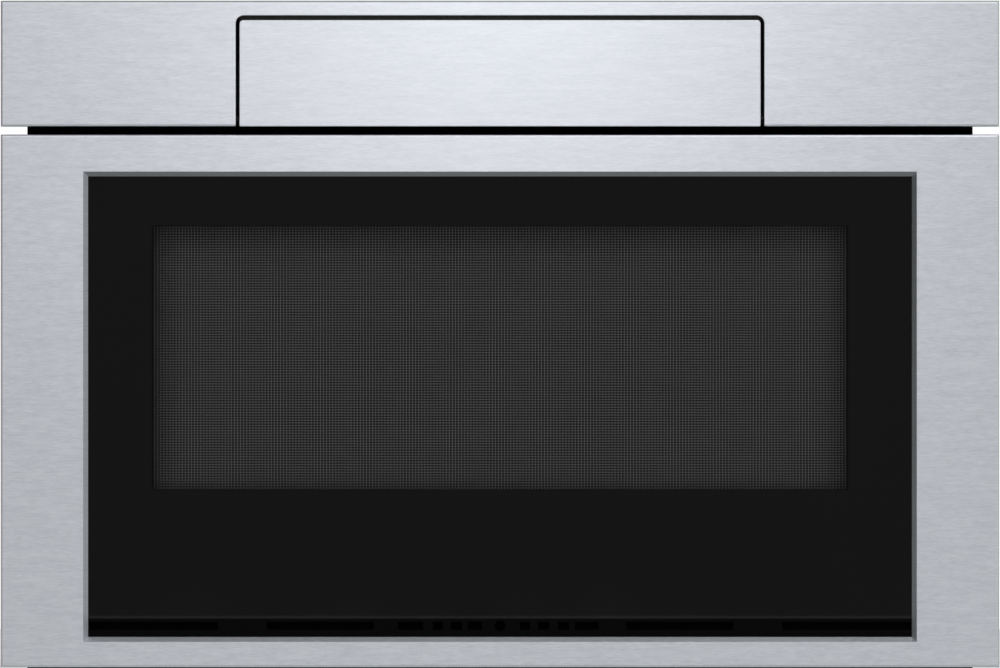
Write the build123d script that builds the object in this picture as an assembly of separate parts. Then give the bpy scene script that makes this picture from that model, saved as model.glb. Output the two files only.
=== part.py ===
from build123d import *
import math
import os

# Built-in microwave drawer, 30 inch class: a stainless drawer front with a black glass window, a fixed
# stainless fascia with a tilting control flap in its middle, and the chassis and works behind them.
# Millimetres. X runs across the front, Y from the front face to the back, Z up from the base.

# ---- The fronts ------------------------------------------------------------------------------------
front_width = 758.8
drawer_front_height = 404.8
front_gap = 6.1  # between the drawer front and the fascia
fascia_height = 95.5
base_reveal = 1.2  # the drawer front ends this far above the base
front_depth = 26.0
front_sheet = 1.2
front_edge_radius = 1.8
overall_depth = 594.0

side_stile = 62.6  # outer edge of the drawer front to the window
top_band = 28.1
bottom_band = 19.2
window_bevel = 3.7  # 45 degree lip round the window, so also the depth of the glass
glass_thick = 4.0
glass_tuck = 5.0  # glass hidden behind the lip
vent_slot = 13.6  # open below the glass
grille_depth = 9.0
grille_edge = 1.6  # hidden behind the lower lip
grille_foot = 5.5  # bar below the openings
grille_bar = 2.1  # bar above them
grille_screw_hole = 4.2  # radius

mesh_width = 529.8
mesh_height = 201.8
mesh_bottom = 134.2  # above the lower edge of the drawer front
mesh_margin = 8.0
screen_sheet = 0.6

flap_width = 396.4
flap_side_gap = 2.5
flap_top_gap = 3.3
flap_strip = 11.2  # fascia left above the flap opening
flap_opening_radius = 6.0
flap_edge_radius = 0.7  # front edges of the flap and of its opening
flap_corner_radius = 3.0
flap_foot_radius = 1.0

# ---- The body --------------------------------------------------------------------------------------
front_overhang = 19.8  # of the fronts beyond each side of the body
body_top_inset = 4.6  # below the top of the fascia
frame_sheet = 1.5
frame_gap = 1.5  # from the closed drawer to the front frame, and the sheet behind the fascia
base_sheet = 1.2
case_sheet = 1.0
bush_projection = 3.8  # the bush is the rearmost piece
running_gap = 0.3
slot_clearance = 3.0

# ---- The cavity and the container ------------------------------------------------------------------
container_width = 440.0
works_depth = 143.3  # room behind the cavity for the magnetron and the transformer
usable_height = 181.0
cavity_floor_z = 128.0
cavity_side_gap = 8.0
cavity_back_gap = 12.0
pan_clearance = 10.8
liner_sheet = 1.0
ceramic_thick = 5.0
ceramic_margin = 0.5
wall_below_ceiling = 26.0
choke_reach = 33.0  # the choke covers this much round the mouth
choke_inner = 4.0
choke_cover_sheet = 1.0
choke_window_margin = 15.0

# ---- The slides and the drive ----------------------------------------------------------------------
travel = 381.0
slide_x = 274.0
slide_bottom = 50.0
slide_height = 45.0
slide_width = 13.0
slide_sheet = 1.5
slide_length = 446.0
slide_web_gap = 0.4
rail_plate = 3.0
rail_plate_margin = 6.0
support_foot = 22.0

drive_module = 1.5
drive_teeth = 16
drive_face = 10.0  # face width of the pinion
rack_face = 12.0
rack_back = 6.1  # rack metal above the tooth roots
rack_run_on = 12.0  # rack beyond the pinion at each end of the travel
pinion_setback = 18.0  # pinion axis behind the front frame
pinion_z = 50.0
pinion_shaft = 3.0  # radius
shaft_fit = 0.05  # radial
beam_width = 20.0
beam_height = 18.0
gearbox_gap = 4.0  # rack beam to gearbox, and how far the pinion's shaft goes in
gearbox_width = 44.0
gearbox_reach = 20.0  # behind the pinion axis
gearbox_corner = 4.0
gearbox_rise = 20.0  # above the pinion axis
drive_motor_radius = 18.0
drive_motor_length = 55.0
drive_motor_boss = 6.0

# ---- The control flap ------------------------------------------------------------------------------
flap_open_angle = 45.0
pivot_inset = 6.0  # behind the face and above the lower edge of the flap
flap_skin_sheet = 1.0
flap_skin_return = 3.0
flap_swing_gap = 2.3  # flap to the fascia opening as it swings
flap_body_inset = 4.35
flap_wall = 3.0
flap_hub = 7.0  # material left round the pin
flap_touch_thick = 3.0
flap_touch_rim = 4.0
flap_pin_radius = 2.5
flap_bracket_gap = 2.0
flap_bracket_sheet = 2.0
flap_module = 1.0
flap_sector_teeth = 92
flap_pinion_teeth = 14
flap_pinion_angle = 20.0  # above level, seen from the pivot
flap_gear_width = 5.0
flap_rim = 5.0
flap_arm_start = 17.0  # inner radius of the arm between the sector and the cheek
flap_motor_radius = 14.0
flap_motor_length = 40.0
flap_gearbox_width = 16.0

pressure_angle = 20.0
backlash = 0.2
drive_addendum = 0.9  # in modules
flap_addendum = 0.8
dedendum = 1.25

# ---- Microwave works -------------------------------------------------------------------------------
shelf_z = 384.0
shelf_sheet = 1.2
guide_half_width = 45.0
guide_height = 53.0
guide_end = 42.0  # waveguide behind the magnetron's middle
guide_start = 50.0  # waveguide in front of the stirrer
stirrer_setback = 208.0  # behind the front frame
stirrer_radius = 38.0
stirrer_hole = 42.0
stirrer_shaft = 2.5
stirrer_drop = 8.0  # blade above the cavity ceiling
stirrer_motor_radius = 24.0
stirrer_motor_height = 18.0
mica_thick = 0.8
mica_half = 52.0
magnetron_setback = 84.0  # in front of the back plate
magnetron_half = 45.0
magnetron_height = 88.0
magnetron_core = 20.0
magnetron_yoke = 1.5
magnetron_flange = 2.0
filter_box_height = 22.0
filter_box_share = 0.7  # of the yoke's width
antenna_radius = 8.0
antenna_height = 20.0
fin_count = 6
fin_sheet = 0.8
fin_start = 8.0  # lowest fin above the filter box
fin_stop = 4.0  # one step above the highest fin, below the flange

transformer_inset = 159.6  # in from the side of the body
transformer_setback = 87.0  # in front of the back plate
core_width = 96.0
core_height = 80.0
core_stack = 52.0
core_leg = 16.0
core_window = 15.0
coil_gap = 0.4
coil_clearance = 0.2
capacitor_x = -60.0
capacitor_setback = 77.0
capacitor_corner = 16.0
tab_spacing = 24.0
tab_width = 6.0
tab_thick = 1.0
tab_height = 9.0
capacitor_width = 54.0
capacitor_thick = 35.0
capacitor_height = 96.0

fan_inset = 169.6  # in from the side of the body
fan_z = 112.0
fan_radius = 54.0
fan_tip_gap = 2.5
fan_hub = 14.0
fan_blades = 5
fan_pitch = 32.0
shroud_depth = 26.0
shroud_wall = 4.0
fan_motor_radius = 22.0
fan_motor_length = 32.0
fan_shaft = 2.5
fan_arm = 3.0
fan_arm_width = 10.0
fan_guard_width = 4.0

board_sheet = 1.6
board_post = 6.0
board_post_radius = 3.0
board_post_inset = 5.0
board_inset = 39.6  # in from the side of the body
board_setback = 88.0  # behind the front frame
power_board_size = (150.0, 120.0)
control_board_size = (90.0, 80.0)

lamp_setback = 88.0
lamp_width = 40.0
lamp_top = 16.0  # below the cavity ceiling
lamp_height = 40.0
lamp_holder_depth = 14.0
lamp_bulb_radius = 9.0
lamp_bulb_length = 16.0

# ---- Interlocks, mountings, fasteners --------------------------------------------------------------
striker_inset = 33.6  # in from the side of the body
striker_width = 8.0
striker_height = 16.0
striker_reach = 6.0  # behind the front frame
primary_z = 250.0
secondary_z = 290.0
monitor_z = 270.0
plunger_radius = 2.0
plunger_out = 6.0  # plunger showing in front of its switch
plunger_in = 10.0
plunger_spare = 3.0  # room behind the plunger
switch_width = 12.0
switch_height = 24.0
switch_depth = 26.0
switch_arm = 3.0

ear_width = 15.4
ear_low_z = 90.0
ear_high_z = 340.0
ear_screw_low = 120.0
ear_screw_high = 310.0
ear_screw_inset = 7.4
ear_screw_radius = 2.5
ear_return = 26.0

bumper_radius = 7.0
bumper_inset = 22.0
bush_radius = 11.0
bush_bore = 4.5
bush_inset = 59.6  # in from the side of the body
bush_z = 60.0
bush_lip = 4.0
bush_flange = 3.0
screw_head = 4.0
screw_head_height = 2.0
screw_shank = 1.9
screw_hole = 2.0
screw_inset = 12.0
vent_width = 60.0
vent_height = 4.0
vent_pitch = 11.0
base_vent_rows = 5
base_vent_y = 20.0
side_vent_rows = 6
side_vent_z = 150.0
side_vent_inset = 30.0
back_vent_rows = 9
back_vent_z = 320.0
back_vent_inset = 129.6  # middle of the outer columns, in from the side of the body

# ---- Levels and planes worked out from the sizes above ---------------------------------------------
half_front = front_width / 2
face_y = -overall_depth / 2
front_back_y = face_y + front_depth
drawer_z = (base_reveal, base_reveal + drawer_front_height)
fascia_z = (drawer_z[1] + front_gap, drawer_z[1] + front_gap + fascia_height)

frame_y = (front_back_y + frame_gap, front_back_y + frame_gap + frame_sheet)
body_x = half_front - front_overhang
body_top = fascia_z[1] - body_top_inset
back_outer_y = -face_y - bush_projection
back_y = (back_outer_y - base_sheet, back_outer_y)
inner_x = body_x - case_sheet

window_x = half_front - side_stile
window_z = (drawer_z[0] + bottom_band, drawer_z[1] - top_band)
clear_x = window_x - window_bevel
clear_z = (window_z[0] + window_bevel, window_z[1] - window_bevel)
glass_y = (face_y + window_bevel, face_y + window_bevel + glass_thick)
glass_z = (clear_z[0] + vent_slot, clear_z[1] + glass_tuck)
carrier_y = (glass_y[1], glass_y[1] + front_sheet)
screen_y = (carrier_y[1], carrier_y[1] + screen_sheet)
choke_y = (screen_y[1], screen_y[1] + front_sheet)
cover_y = (front_back_y - choke_cover_sheet, front_back_y)
mesh_z = (drawer_z[0] + mesh_bottom, drawer_z[0] + mesh_bottom + mesh_height)
door_inner_x = half_front - front_sheet
door_inner_z = (drawer_z[0] + front_sheet, drawer_z[1] - front_sheet)

wall_x = container_width / 2
cavity_x = wall_x + liner_sheet + cavity_side_gap
pan_z = (cavity_floor_z + pan_clearance, cavity_floor_z + pan_clearance + front_sheet)
ceramic_z = (pan_z[1], pan_z[1] + ceramic_thick)
ceiling_z = ceramic_z[1] + usable_height
wall_top = ceiling_z - wall_below_ceiling
cavity_y = (frame_y[1], back_y[0] - works_depth - liner_sheet)
container_y = (choke_y[1], cavity_y[1] - cavity_back_gap - liner_sheet)
choke_x = cavity_x + choke_reach
choke_z = (cavity_floor_z - choke_reach, ceiling_z + choke_reach)

slide_z = (slide_bottom, slide_bottom + slide_height)
slide_outer_x = slide_x + slide_width
slide_y = (frame_y[1] + running_gap, frame_y[1] + running_gap + slide_length)
slide_step = slide_sheet + slide_web_gap
slide_rise = slide_sheet + running_gap

drive_pitch = drive_module * drive_teeth / 2
pinion_y = frame_y[1] + pinion_setback
rack_line = pinion_z + drive_pitch
rack_root = rack_line + dedendum * drive_module
rack_top = rack_root + rack_back
rack_y = (pinion_y - rack_run_on, pinion_y + travel + rack_run_on)
beam_z = (rack_top, rack_top + beam_height)

opening_x = flap_width / 2 + flap_side_gap
opening_top = fascia_z[1] - flap_strip
flap_x = flap_width / 2
flap_z = (fascia_z[0], opening_top - flap_top_gap)
pivot_y = face_y + pivot_inset
pivot_z = fascia_z[0] + pivot_inset
wedge_radius = opening_top - pivot_z - flap_swing_gap
cheek_x = flap_x - flap_skin_sheet - flap_body_inset
sector_pitch = flap_module * flap_sector_teeth / 2
flap_pinion_pitch = flap_module * flap_pinion_teeth / 2
gear_centres = sector_pitch + flap_pinion_pitch
flap_pinion_y = pivot_y + gear_centres * math.cos(math.radians(flap_pinion_angle))
flap_pinion_z = pivot_z + gear_centres * math.sin(math.radians(flap_pinion_angle))
sector_x = (cheek_x - flap_wall - flap_gear_width, cheek_x - flap_wall)
frame_cut_bottom = pivot_z - flap_pin_radius

stirrer_y = frame_y[1] + stirrer_setback
magnetron_y = back_y[0] - magnetron_setback
guide_y = (stirrer_y - guide_start, magnetron_y + guide_end)
guide_z = (ceiling_z + liner_sheet, ceiling_z + liner_sheet + guide_height)
transformer_x = transformer_inset - body_x
transformer_y = back_y[0] - transformer_setback
capacitor_y = back_y[0] - capacitor_setback
shelf_top = shelf_z + shelf_sheet
fan_x = body_x - fan_inset
fan_y = back_y[0] - shroud_depth
bush_x = body_x - bush_inset
striker_x = body_x - striker_inset
plunger_y = frame_y[1] + striker_reach + running_gap
ear_screw_x = body_x + ear_screw_inset + case_sheet


# ---- Shapes that are used again --------------------------------------------------------------------
def block(x, y, z):
    """A box between a low and a high value on each axis."""
    size = Box(x[1] - x[0], y[1] - y[0], z[1] - z[0])
    return Pos(sum(x) / 2, sum(y) / 2, sum(z) / 2) * size


def across(half, y, z):
    """A box that is centred on the middle plane."""
    return block((-half, half), y, z)


def rod_x(x, y, z, radius):
    return Pos(sum(x) / 2, y, z) * Rot(0, 90, 0) * Cylinder(radius, x[1] - x[0])


def rod_y(x, y, z, radius):
    return Pos(x, sum(y) / 2, z) * Rot(90, 0, 0) * Cylinder(radius, y[1] - y[0])


def rod_z(x, y, z, radius):
    return Pos(x, y, sum(z) / 2) * Cylinder(radius, z[1] - z[0])


def raised_y(sketch, y):
    """A sketch drawn in X and Z, extruded through a pair of Y values."""
    plane = Plane(origin=(0, y[1], 0), x_dir=(1, 0, 0), z_dir=(0, -1, 0))
    return extrude(plane * sketch, amount=y[1] - y[0])


def raised_x(sketch, x, y=0.0, z=0.0):
    """A sketch drawn in Y and Z about a point, extruded through a pair of X values."""
    plane = Plane(origin=(x[0], y, z), x_dir=(0, 1, 0), z_dir=(1, 0, 0))
    return extrude(plane * sketch, amount=x[1] - x[0])


def pair(shape):
    """A piece and its mirror image on the other side of the middle plane."""
    return Compound(children=[shape, mirror(shape, about=Plane.YZ)])


def rectangle(x, z):
    return Pos(sum(x) / 2, sum(z) / 2) * Rectangle(x[1] - x[0], z[1] - z[0])


def grow(span, amount):
    """A pair of values moved apart at both ends."""
    return (span[0] - amount, span[1] + amount)


# ---- Gear teeth ------------------------------------------------------------------------------------
def involute(base, radius):
    """The angle that an involute turns through from its base circle out to a radius."""
    if radius <= base:
        return 0.0
    roll = math.sqrt((radius / base) ** 2 - 1)
    return roll - math.atan(roll)


def tooth(module, count, addendum, centre_angle):
    """Outline of one tooth, from the root on one side over the tip to the root on the other."""
    pitch = module * count / 2
    base = pitch * math.cos(math.radians(pressure_angle))
    root = pitch - dedendum * module
    tip = pitch + addendum * module
    half = (math.pi * module / 2 - backlash / 2) / (2 * pitch) + involute(base, pitch)
    start = max(base, root)
    flank_steps = 6
    radii = [start + (tip - start) * step / flank_steps for step in range(flank_steps + 1)]
    if base > root:
        radii.insert(0, root)
    flank = [(r, half - involute(base, r)) for r in radii]
    centre = math.radians(centre_angle)
    rising = [(r * math.cos(centre - a), r * math.sin(centre - a)) for r, a in flank]
    falling = [(r * math.cos(centre + a), r * math.sin(centre + a)) for r, a in reversed(flank)]
    return rising + falling


def toothed_wheel(module, count, addendum, first_angle):
    """The sketch of a whole toothed wheel about the origin."""
    points = []
    for number in range(count):
        points += tooth(module, count, addendum, first_angle + 360 * number / count)
    return make_face(Polyline(*points, close=True))


def fan_of(inner, outer, low, high):
    """A sketch of the part of a ring between two angles about the origin."""
    middle = math.radians((low + high) / 2)
    low = math.radians(low)
    high = math.radians(high)

    def at(radius, angle):
        return (radius * math.cos(angle), radius * math.sin(angle))

    edges = Line(at(inner, low), at(outer, low))
    edges += ThreePointArc(at(outer, low), at(outer, middle), at(outer, high))
    edges += Line(at(outer, high), at(inner, high))
    edges += ThreePointArc(at(inner, high), at(inner, middle), at(inner, low))
    return make_face(edges)


# ---- The drawer front ------------------------------------------------------------------------------
def window_funnel():
    """The bevelled hole of the window, run on by a millimetre in front of the face."""
    ahead = 1.0

    def section(y, grown):
        plane = Plane(origin=(0, y, 0), x_dir=(1, 0, 0), z_dir=(0, -1, 0))
        return plane * rectangle(grow((-clear_x, clear_x), grown), grow(clear_z, grown))

    return loft(sections=[section(face_y - ahead, window_bevel + ahead), section(glass_y[0], 0.0)])


def folded_front(z):
    """A stainless front as a folded pan, open at the back, with softened front edges."""
    pan = across(half_front, (face_y, front_back_y), z)
    front_edges = pan.faces().sort_by(Axis.Y)[0].edges()
    pan = fillet(front_edges, front_edge_radius)
    inside = across(door_inner_x, (face_y + front_sheet, front_back_y), grow(z, -front_sheet))
    return pan - inside


def door_panel():
    lip_y = (face_y, glass_y[0])
    lip = across(window_x + front_sheet, lip_y, grow(window_z, front_sheet))
    lip = lip - window_funnel()
    window = across(window_x, (face_y, face_y + front_sheet), window_z)
    return folded_front(drawer_z) - window + lip


def door_glass():
    glass = across(clear_x + glass_tuck, glass_y, glass_z)
    polished = glass.edges().filter_by(Axis.X).sort_by(Axis.Z)[:2]
    return chamfer(polished, glass_thick / 8)


def door_screen():
    return across(mesh_width / 2 + mesh_margin, screen_y, grow(mesh_z, mesh_margin))


def grille_windows():
    """The openings of the grille, as pairs of distances from the middle."""
    end = clear_x
    return [
        (-end, -214.6),
        (-177.3, -95.9),
        (-77.6, -58.6),
        (-51.0, -43.4),
        (-37.3, -28.9),
        (-24.4, -13.7),
        (15.2, 22.8),
        (28.9, 37.3),
        (44.1, 52.5),
        (57.1, 75.0),
        (95.9, 177.3),
        (214.6, end),
    ]


def vent_grille():
    z = (clear_z[0] - grille_edge, glass_z[0])
    grille = across(clear_x + glass_tuck, (glass_y[0], glass_y[0] + grille_depth), z)
    hole_z = (clear_z[0] + grille_foot, z[1] - grille_bar)
    for window in grille_windows():
        grille -= block(window, (glass_y[0], glass_y[0] + grille_depth), hole_z)
    return grille - rod_y(0, (glass_y[0], glass_y[0] + grille_depth), sum(hole_z) / 2, grille_screw_hole)


def door_carrier():
    """The sheet behind the glass that carries the screen, the choke, the rails and the rack beam."""
    web = across(door_inner_x, carrier_y, door_inner_z)
    web -= across(mesh_width / 2, carrier_y, mesh_z)
    return web - across(clear_x + glass_tuck, carrier_y, (door_inner_z[0], glass_z[0]))


def choke_frame():
    """The screening frame of the drawer front: a web with an outer and an inner wall round the mouth."""
    wall_y = (choke_y[0], cover_y[0])
    outer = across(choke_x, wall_y, choke_z)
    outer -= across(choke_x - liner_sheet, (choke_y[1], cover_y[0]), grow(choke_z, -liner_sheet))
    ring_z = (cavity_floor_z - choke_inner, ceiling_z + choke_inner)
    ring = across(cavity_x + choke_inner, wall_y, ring_z)
    ring -= across(cavity_x + choke_inner - liner_sheet, wall_y, grow(ring_z, -liner_sheet))
    see_through_x = wall_x - choke_window_margin
    see_through_z = (ceramic_z[1] + choke_window_margin, wall_top - choke_window_margin)
    return outer + ring - across(see_through_x, choke_y, see_through_z)


def choke_cover():
    """The moulded ring that closes the choke towards the front frame."""
    hole_z = (cavity_floor_z - choke_inner, ceiling_z + choke_inner)
    cover = across(choke_x, cover_y, choke_z)
    return cover - across(cavity_x + choke_inner - liner_sheet, cover_y, grow(hole_z, -liner_sheet))


def passages():
    """The ways that the rails, the beam and the strikers take through the sheets of front and frame."""
    y = (carrier_y[1], frame_y[1])
    rail = block((slide_x - slot_clearance, slide_outer_x + slide_step), y, grow(slide_z, slot_clearance))
    low = rack_line - drive_module
    beam = across(beam_width / 2 + slot_clearance, y, (low - slot_clearance, beam_z[1] + slot_clearance))
    cuts = [rail, mirror(rail, about=Plane.YZ), beam]
    for side, z in striker_places():
        x = (side * striker_x - striker_width / 2, side * striker_x + striker_width / 2)
        cuts.append(block(grow(x, slot_clearance), y, grow((z[0], z[1]), slot_clearance)))
    return cuts


def door_back():
    """The inner sheet that closes the drawer front round the choke."""
    sheet = across(door_inner_x, cover_y, door_inner_z) - across(choke_x, cover_y, choke_z)
    for cut in passages():
        sheet -= cut
    return sheet


# ---- The container ---------------------------------------------------------------------------------
def container_walls():
    z = (pan_z[1], wall_top)
    side = block((wall_x, wall_x + liner_sheet), container_y, z)
    back_y_span = (container_y[1], container_y[1] + liner_sheet)
    back = across(wall_x + liner_sheet, back_y_span, z)
    return Compound(children=[side, mirror(side, about=Plane.YZ), back])


def container_pan():
    return across(wall_x + liner_sheet, (container_y[0], container_y[1] + liner_sheet), pan_z)


def ceramic_floor():
    plate = across(wall_x - ceramic_margin, grow(container_y, -ceramic_margin), ceramic_z)
    return chamfer(plate.faces().sort_by(Axis.Z)[-1].edges(), ceramic_margin)


# ---- The slides ------------------------------------------------------------------------------------
def channel(level, y):
    """One member of the right slide: a C channel, each level nested in the one before."""
    web_outer = slide_outer_x - level * slide_step
    z = grow(slide_z, -level * slide_rise)
    outside = block((slide_x, web_outer), y, z)
    return outside - block((slide_x, web_outer - slide_sheet), y, grow(z, -slide_sheet))


def slide_outers():
    return pair(channel(0, slide_y))


def slide_middle():
    return channel(1, slide_y)


def slide_middle_left():
    return mirror(slide_middle(), about=Plane.YZ)


def slide_inners():
    front = carrier_y[1] + rail_plate
    return pair(channel(2, (front, front + slide_length)))


def rail_brackets():
    x = (slide_x - rail_plate_margin, slide_outer_x + rail_plate_margin)
    return pair(block(x, (carrier_y[1], carrier_y[1] + rail_plate), slide_z))


def slide_supports():
    """Angles that stand on the base and carry the fixed slides."""
    y = slide_y
    web = block((slide_outer_x, slide_outer_x + slide_sheet), y, (base_sheet, slide_z[1]))
    foot = block((slide_outer_x, slide_outer_x + support_foot), y, (base_sheet, base_sheet + slide_sheet))
    return pair(web + foot)


# ---- The rack drive --------------------------------------------------------------------------------
def rack():
    pitch = math.pi * drive_module
    half = (pitch / 2 - backlash / 2) / 2
    slope = math.tan(math.radians(pressure_angle))
    deep = dedendum * drive_module
    high = drive_addendum * drive_module
    first = math.ceil((rack_y[0] - pinion_y) / pitch)
    last = math.floor((rack_y[1] - pinion_y) / pitch)
    points = [(rack_y[0], rack_top), (rack_y[0], rack_root)]
    for number in range(first, last):
        centre = pinion_y + (number + 0.5) * pitch
        points.append((centre - half - deep * slope, rack_root))
        points.append((centre - half + high * slope, rack_line - high))
        points.append((centre + half - high * slope, rack_line - high))
        points.append((centre + half + deep * slope, rack_root))
    points += [(rack_y[1], rack_root), (rack_y[1], rack_top)]
    return raised_x(make_face(Polyline(*points, close=True)), (-rack_face / 2, rack_face / 2))


def rack_beam():
    y = (carrier_y[1], rack_y[1])
    beam = across(beam_width / 2, y, beam_z)
    return beam - across(beam_width / 2 - slide_sheet, y, (beam_z[0] + slide_sheet, beam_z[1]))


gearbox_x = (beam_width / 2 + gearbox_gap, beam_width / 2 + gearbox_gap + gearbox_width)
shaft_reach = gearbox_x[0] + gearbox_gap


def drive_pinion():
    wheel = toothed_wheel(drive_module, drive_teeth, drive_addendum, 90)
    wheel = raised_x(wheel, (-drive_face / 2, drive_face / 2), pinion_y, pinion_z)
    return wheel + rod_x((-drive_face / 2, shaft_reach), pinion_y, pinion_z, pinion_shaft)


def drawer_motor():
    y = (frame_y[1] + running_gap, pinion_y + gearbox_reach)
    box = block(gearbox_x, y, (base_sheet, pinion_z + gearbox_rise))
    box = fillet(box.edges().filter_by(Axis.X).sort_by(Axis.Z)[2:], gearbox_corner)
    box -= rod_x((gearbox_x[0], shaft_reach), pinion_y, pinion_z, pinion_shaft + shaft_fit)
    motor_x = (gearbox_x[1], gearbox_x[1] + drive_motor_length)
    boss_x = (motor_x[1], motor_x[1] + drive_motor_boss)
    motor_y = y[1] - drive_motor_radius
    motor = rod_x(motor_x, motor_y, pinion_z, drive_motor_radius)
    return box + motor + rod_x(boss_x, motor_y, pinion_z, drive_motor_radius / 3)


# ---- The control flap ------------------------------------------------------------------------------
def polar(radius, angle):
    """A point about the flap's pivot, as Y and Z, with the angle measured up from level behind it."""
    angle = math.radians(angle)
    return (pivot_y + radius * math.cos(angle), pivot_z + radius * math.sin(angle))


def chord():
    """The sloping line that the touch glass lies on, from behind the flap's top edge to its rear edge."""
    start = (face_y + flap_skin_return, flap_z[1] - flap_skin_sheet)
    return start, polar(wedge_radius, 90 - flap_open_angle)


def chord_point(along, depth, from_rear=False):
    """A point some way along the chord from its front or rear end, and a depth below it."""
    start, end = chord()
    length = math.dist(start, end)
    step_y = (end[0] - start[0]) / length
    step_z = (end[1] - start[1]) / length
    if from_rear:
        along = length - along
    return (start[0] + along * step_y + depth * step_z, start[1] + along * step_z - depth * step_y)


def touch_outline():
    """The section of the touch glass, let into the top of the wedge."""
    rim = flap_touch_rim
    deep = flap_touch_thick
    front = [chord_point(rim, deep), chord_point(rim, 0)]
    rear = [chord_point(rim, 0, from_rear=True), chord_point(rim, deep, from_rear=True)]
    return make_face(Polyline(*front, *rear, close=True))


def flap_skin():
    outline = rectangle((-flap_x, flap_x), flap_z)
    top = outline.vertices().group_by(Axis.Y)[-1]
    outline = fillet(top, flap_corner_radius)
    foot = outline.vertices().group_by(Axis.Y)[0]
    outline = fillet(foot, flap_foot_radius)
    skin = raised_y(outline, (face_y, face_y + flap_skin_return))
    skin = fillet(skin.faces().sort_by(Axis.Y)[0].edges(), flap_edge_radius)
    inside = rectangle((-flap_x, flap_x), flap_z)
    inside = offset(inside, amount=-flap_skin_sheet)
    return skin - raised_y(inside, (face_y + flap_skin_sheet, face_y + flap_skin_return))


def flap_body():
    """The wedge behind the skin: front wall, cheeks and top, open towards the back."""
    front = face_y + flap_skin_sheet
    top = flap_z[1] - flap_skin_sheet
    start, end = chord()
    low = flap_z[0] + flap_skin_sheet
    heel = [(pivot_y + flap_hub, pivot_z), (pivot_y + flap_hub - flap_wall, low)]
    outline = [(front, low), (front, top), start, end, *heel]
    wedge = raised_x(make_face(Polyline(*outline, close=True)), (-cheek_x, cheek_x))
    roof = flap_touch_thick + flap_wall
    hollow = [
        (front + flap_wall, pivot_z + flap_hub),
        (front + flap_wall, chord_point(2 * flap_wall, roof)[1]),
        chord_point(2 * flap_wall, roof),
        chord_point(0, roof, from_rear=True),
        polar(wedge_radius, 60 - flap_open_angle),
        (pivot_y + flap_hub + flap_wall, pivot_z + flap_hub),
    ]
    hollow_x = cheek_x - flap_wall
    wedge -= raised_x(make_face(Polyline(*hollow, close=True)), (-hollow_x, hollow_x))
    wedge -= raised_x(touch_outline(), (flap_touch_rim - cheek_x, cheek_x - flap_touch_rim))
    liner_x = flap_x - flap_skin_sheet
    liner = across(liner_x, (front, face_y + flap_skin_return), (low, top))
    body = wedge + liner
    for side in (-1, 1):
        x = (side * cheek_x - flap_wall, side * cheek_x + flap_wall)
        body -= rod_x(x, pivot_y, pivot_z, flap_pin_radius)
    return body


def touch_glass():
    return raised_x(touch_outline(), (flap_touch_rim - cheek_x, cheek_x - flap_touch_rim))


def flap_pins():
    end = opening_x + flap_bracket_gap + flap_bracket_sheet
    return pair(rod_x((cheek_x - flap_wall, end), pivot_y, pivot_z, flap_pin_radius))


def sector_angles():
    """Angles of the sector's teeth: enough for the whole swing, with a few to spare at each end."""
    step = 360 / flap_sector_teeth
    above = 2
    below = math.ceil(flap_open_angle / step) + 1
    return [flap_pinion_angle + step * number for number in range(-below, above + 1)]


def flap_sector():
    step = 360 / flap_sector_teeth
    angles = sector_angles()
    root = sector_pitch - dedendum * flap_module
    low = angles[0] - step / 2
    high = angles[-1] + step / 2
    rim = fan_of(root - flap_rim, root, low, high)
    for angle in angles:
        points = tooth(flap_module, flap_sector_teeth, flap_addendum, angle)
        foot = [(x * (root - 1) / root, y * (root - 1) / root) for x, y in (points[-1], points[0])]
        rim += make_face(Polyline(*points, *foot, close=True))
    arm = fan_of(flap_arm_start, root - flap_module, flap_pinion_angle, 80)
    return raised_x(rim + arm, sector_x, pivot_y, pivot_z)


flap_shaft_x = (sector_x[0] - 6, sector_x[1] + 1)
flap_gearbox_x = (sector_x[0] - 2 - flap_gearbox_width, sector_x[0] - 2)


def flap_pinion():
    first = 180 + flap_pinion_angle + 180 / flap_pinion_teeth
    wheel = toothed_wheel(flap_module, flap_pinion_teeth, flap_addendum, first)
    wheel = raised_x(wheel, (sector_x[0] - 1, sector_x[1] + 1), flap_pinion_y, flap_pinion_z)
    return wheel + rod_x(flap_shaft_x, flap_pinion_y, flap_pinion_z, flap_pin_radius)


def flap_motor():
    half = flap_motor_radius
    y = (flap_pinion_y - half, flap_pinion_y + half)
    box = block(flap_gearbox_x, y, (shelf_top, flap_pinion_z + half))
    bore = (flap_shaft_x[0], flap_gearbox_x[1])
    box -= rod_x(bore, flap_pinion_y, flap_pinion_z, flap_pin_radius + shaft_fit)
    motor_x = (flap_gearbox_x[0] - flap_motor_length, flap_gearbox_x[0])
    return box + rod_x(motor_x, flap_pinion_y, flap_pinion_z, flap_motor_radius - 1)


def flap_brackets():
    x0 = opening_x + flap_bracket_gap
    plate = block((x0, x0 + flap_bracket_sheet), (face_y + front_sheet, front_back_y), (
        fascia_z[0] + front_sheet,
        pivot_z + 6 * flap_pin_radius,
    ))
    plate -= rod_x((x0, x0 + flap_bracket_sheet), pivot_y, pivot_z, flap_pin_radius + shaft_fit)
    return pair(plate)


# ---- The fascia ------------------------------------------------------------------------------------
def flap_opening(y):
    """The hole for the flap, open at the bottom, with rounded upper corners."""
    outline = rectangle((-opening_x, opening_x), (fascia_z[0] - front_gap, opening_top))
    top = outline.vertices().group_by(Axis.Y)[-1]
    return raised_y(fillet(top, flap_opening_radius), y)


def top_fascia():
    fascia = folded_front(fascia_z) - flap_opening((face_y, front_back_y))
    low = fascia_z[0] + front_edge_radius + 0.1
    rim = []
    for edge in fascia.faces().sort_by(Axis.Y)[0].edges():
        middle = edge.center()
        if abs(middle.X) < opening_x + 0.1 and low < middle.Z < opening_top + 0.1:
            rim.append(edge)
    return fillet(rim, flap_edge_radius)


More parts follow.
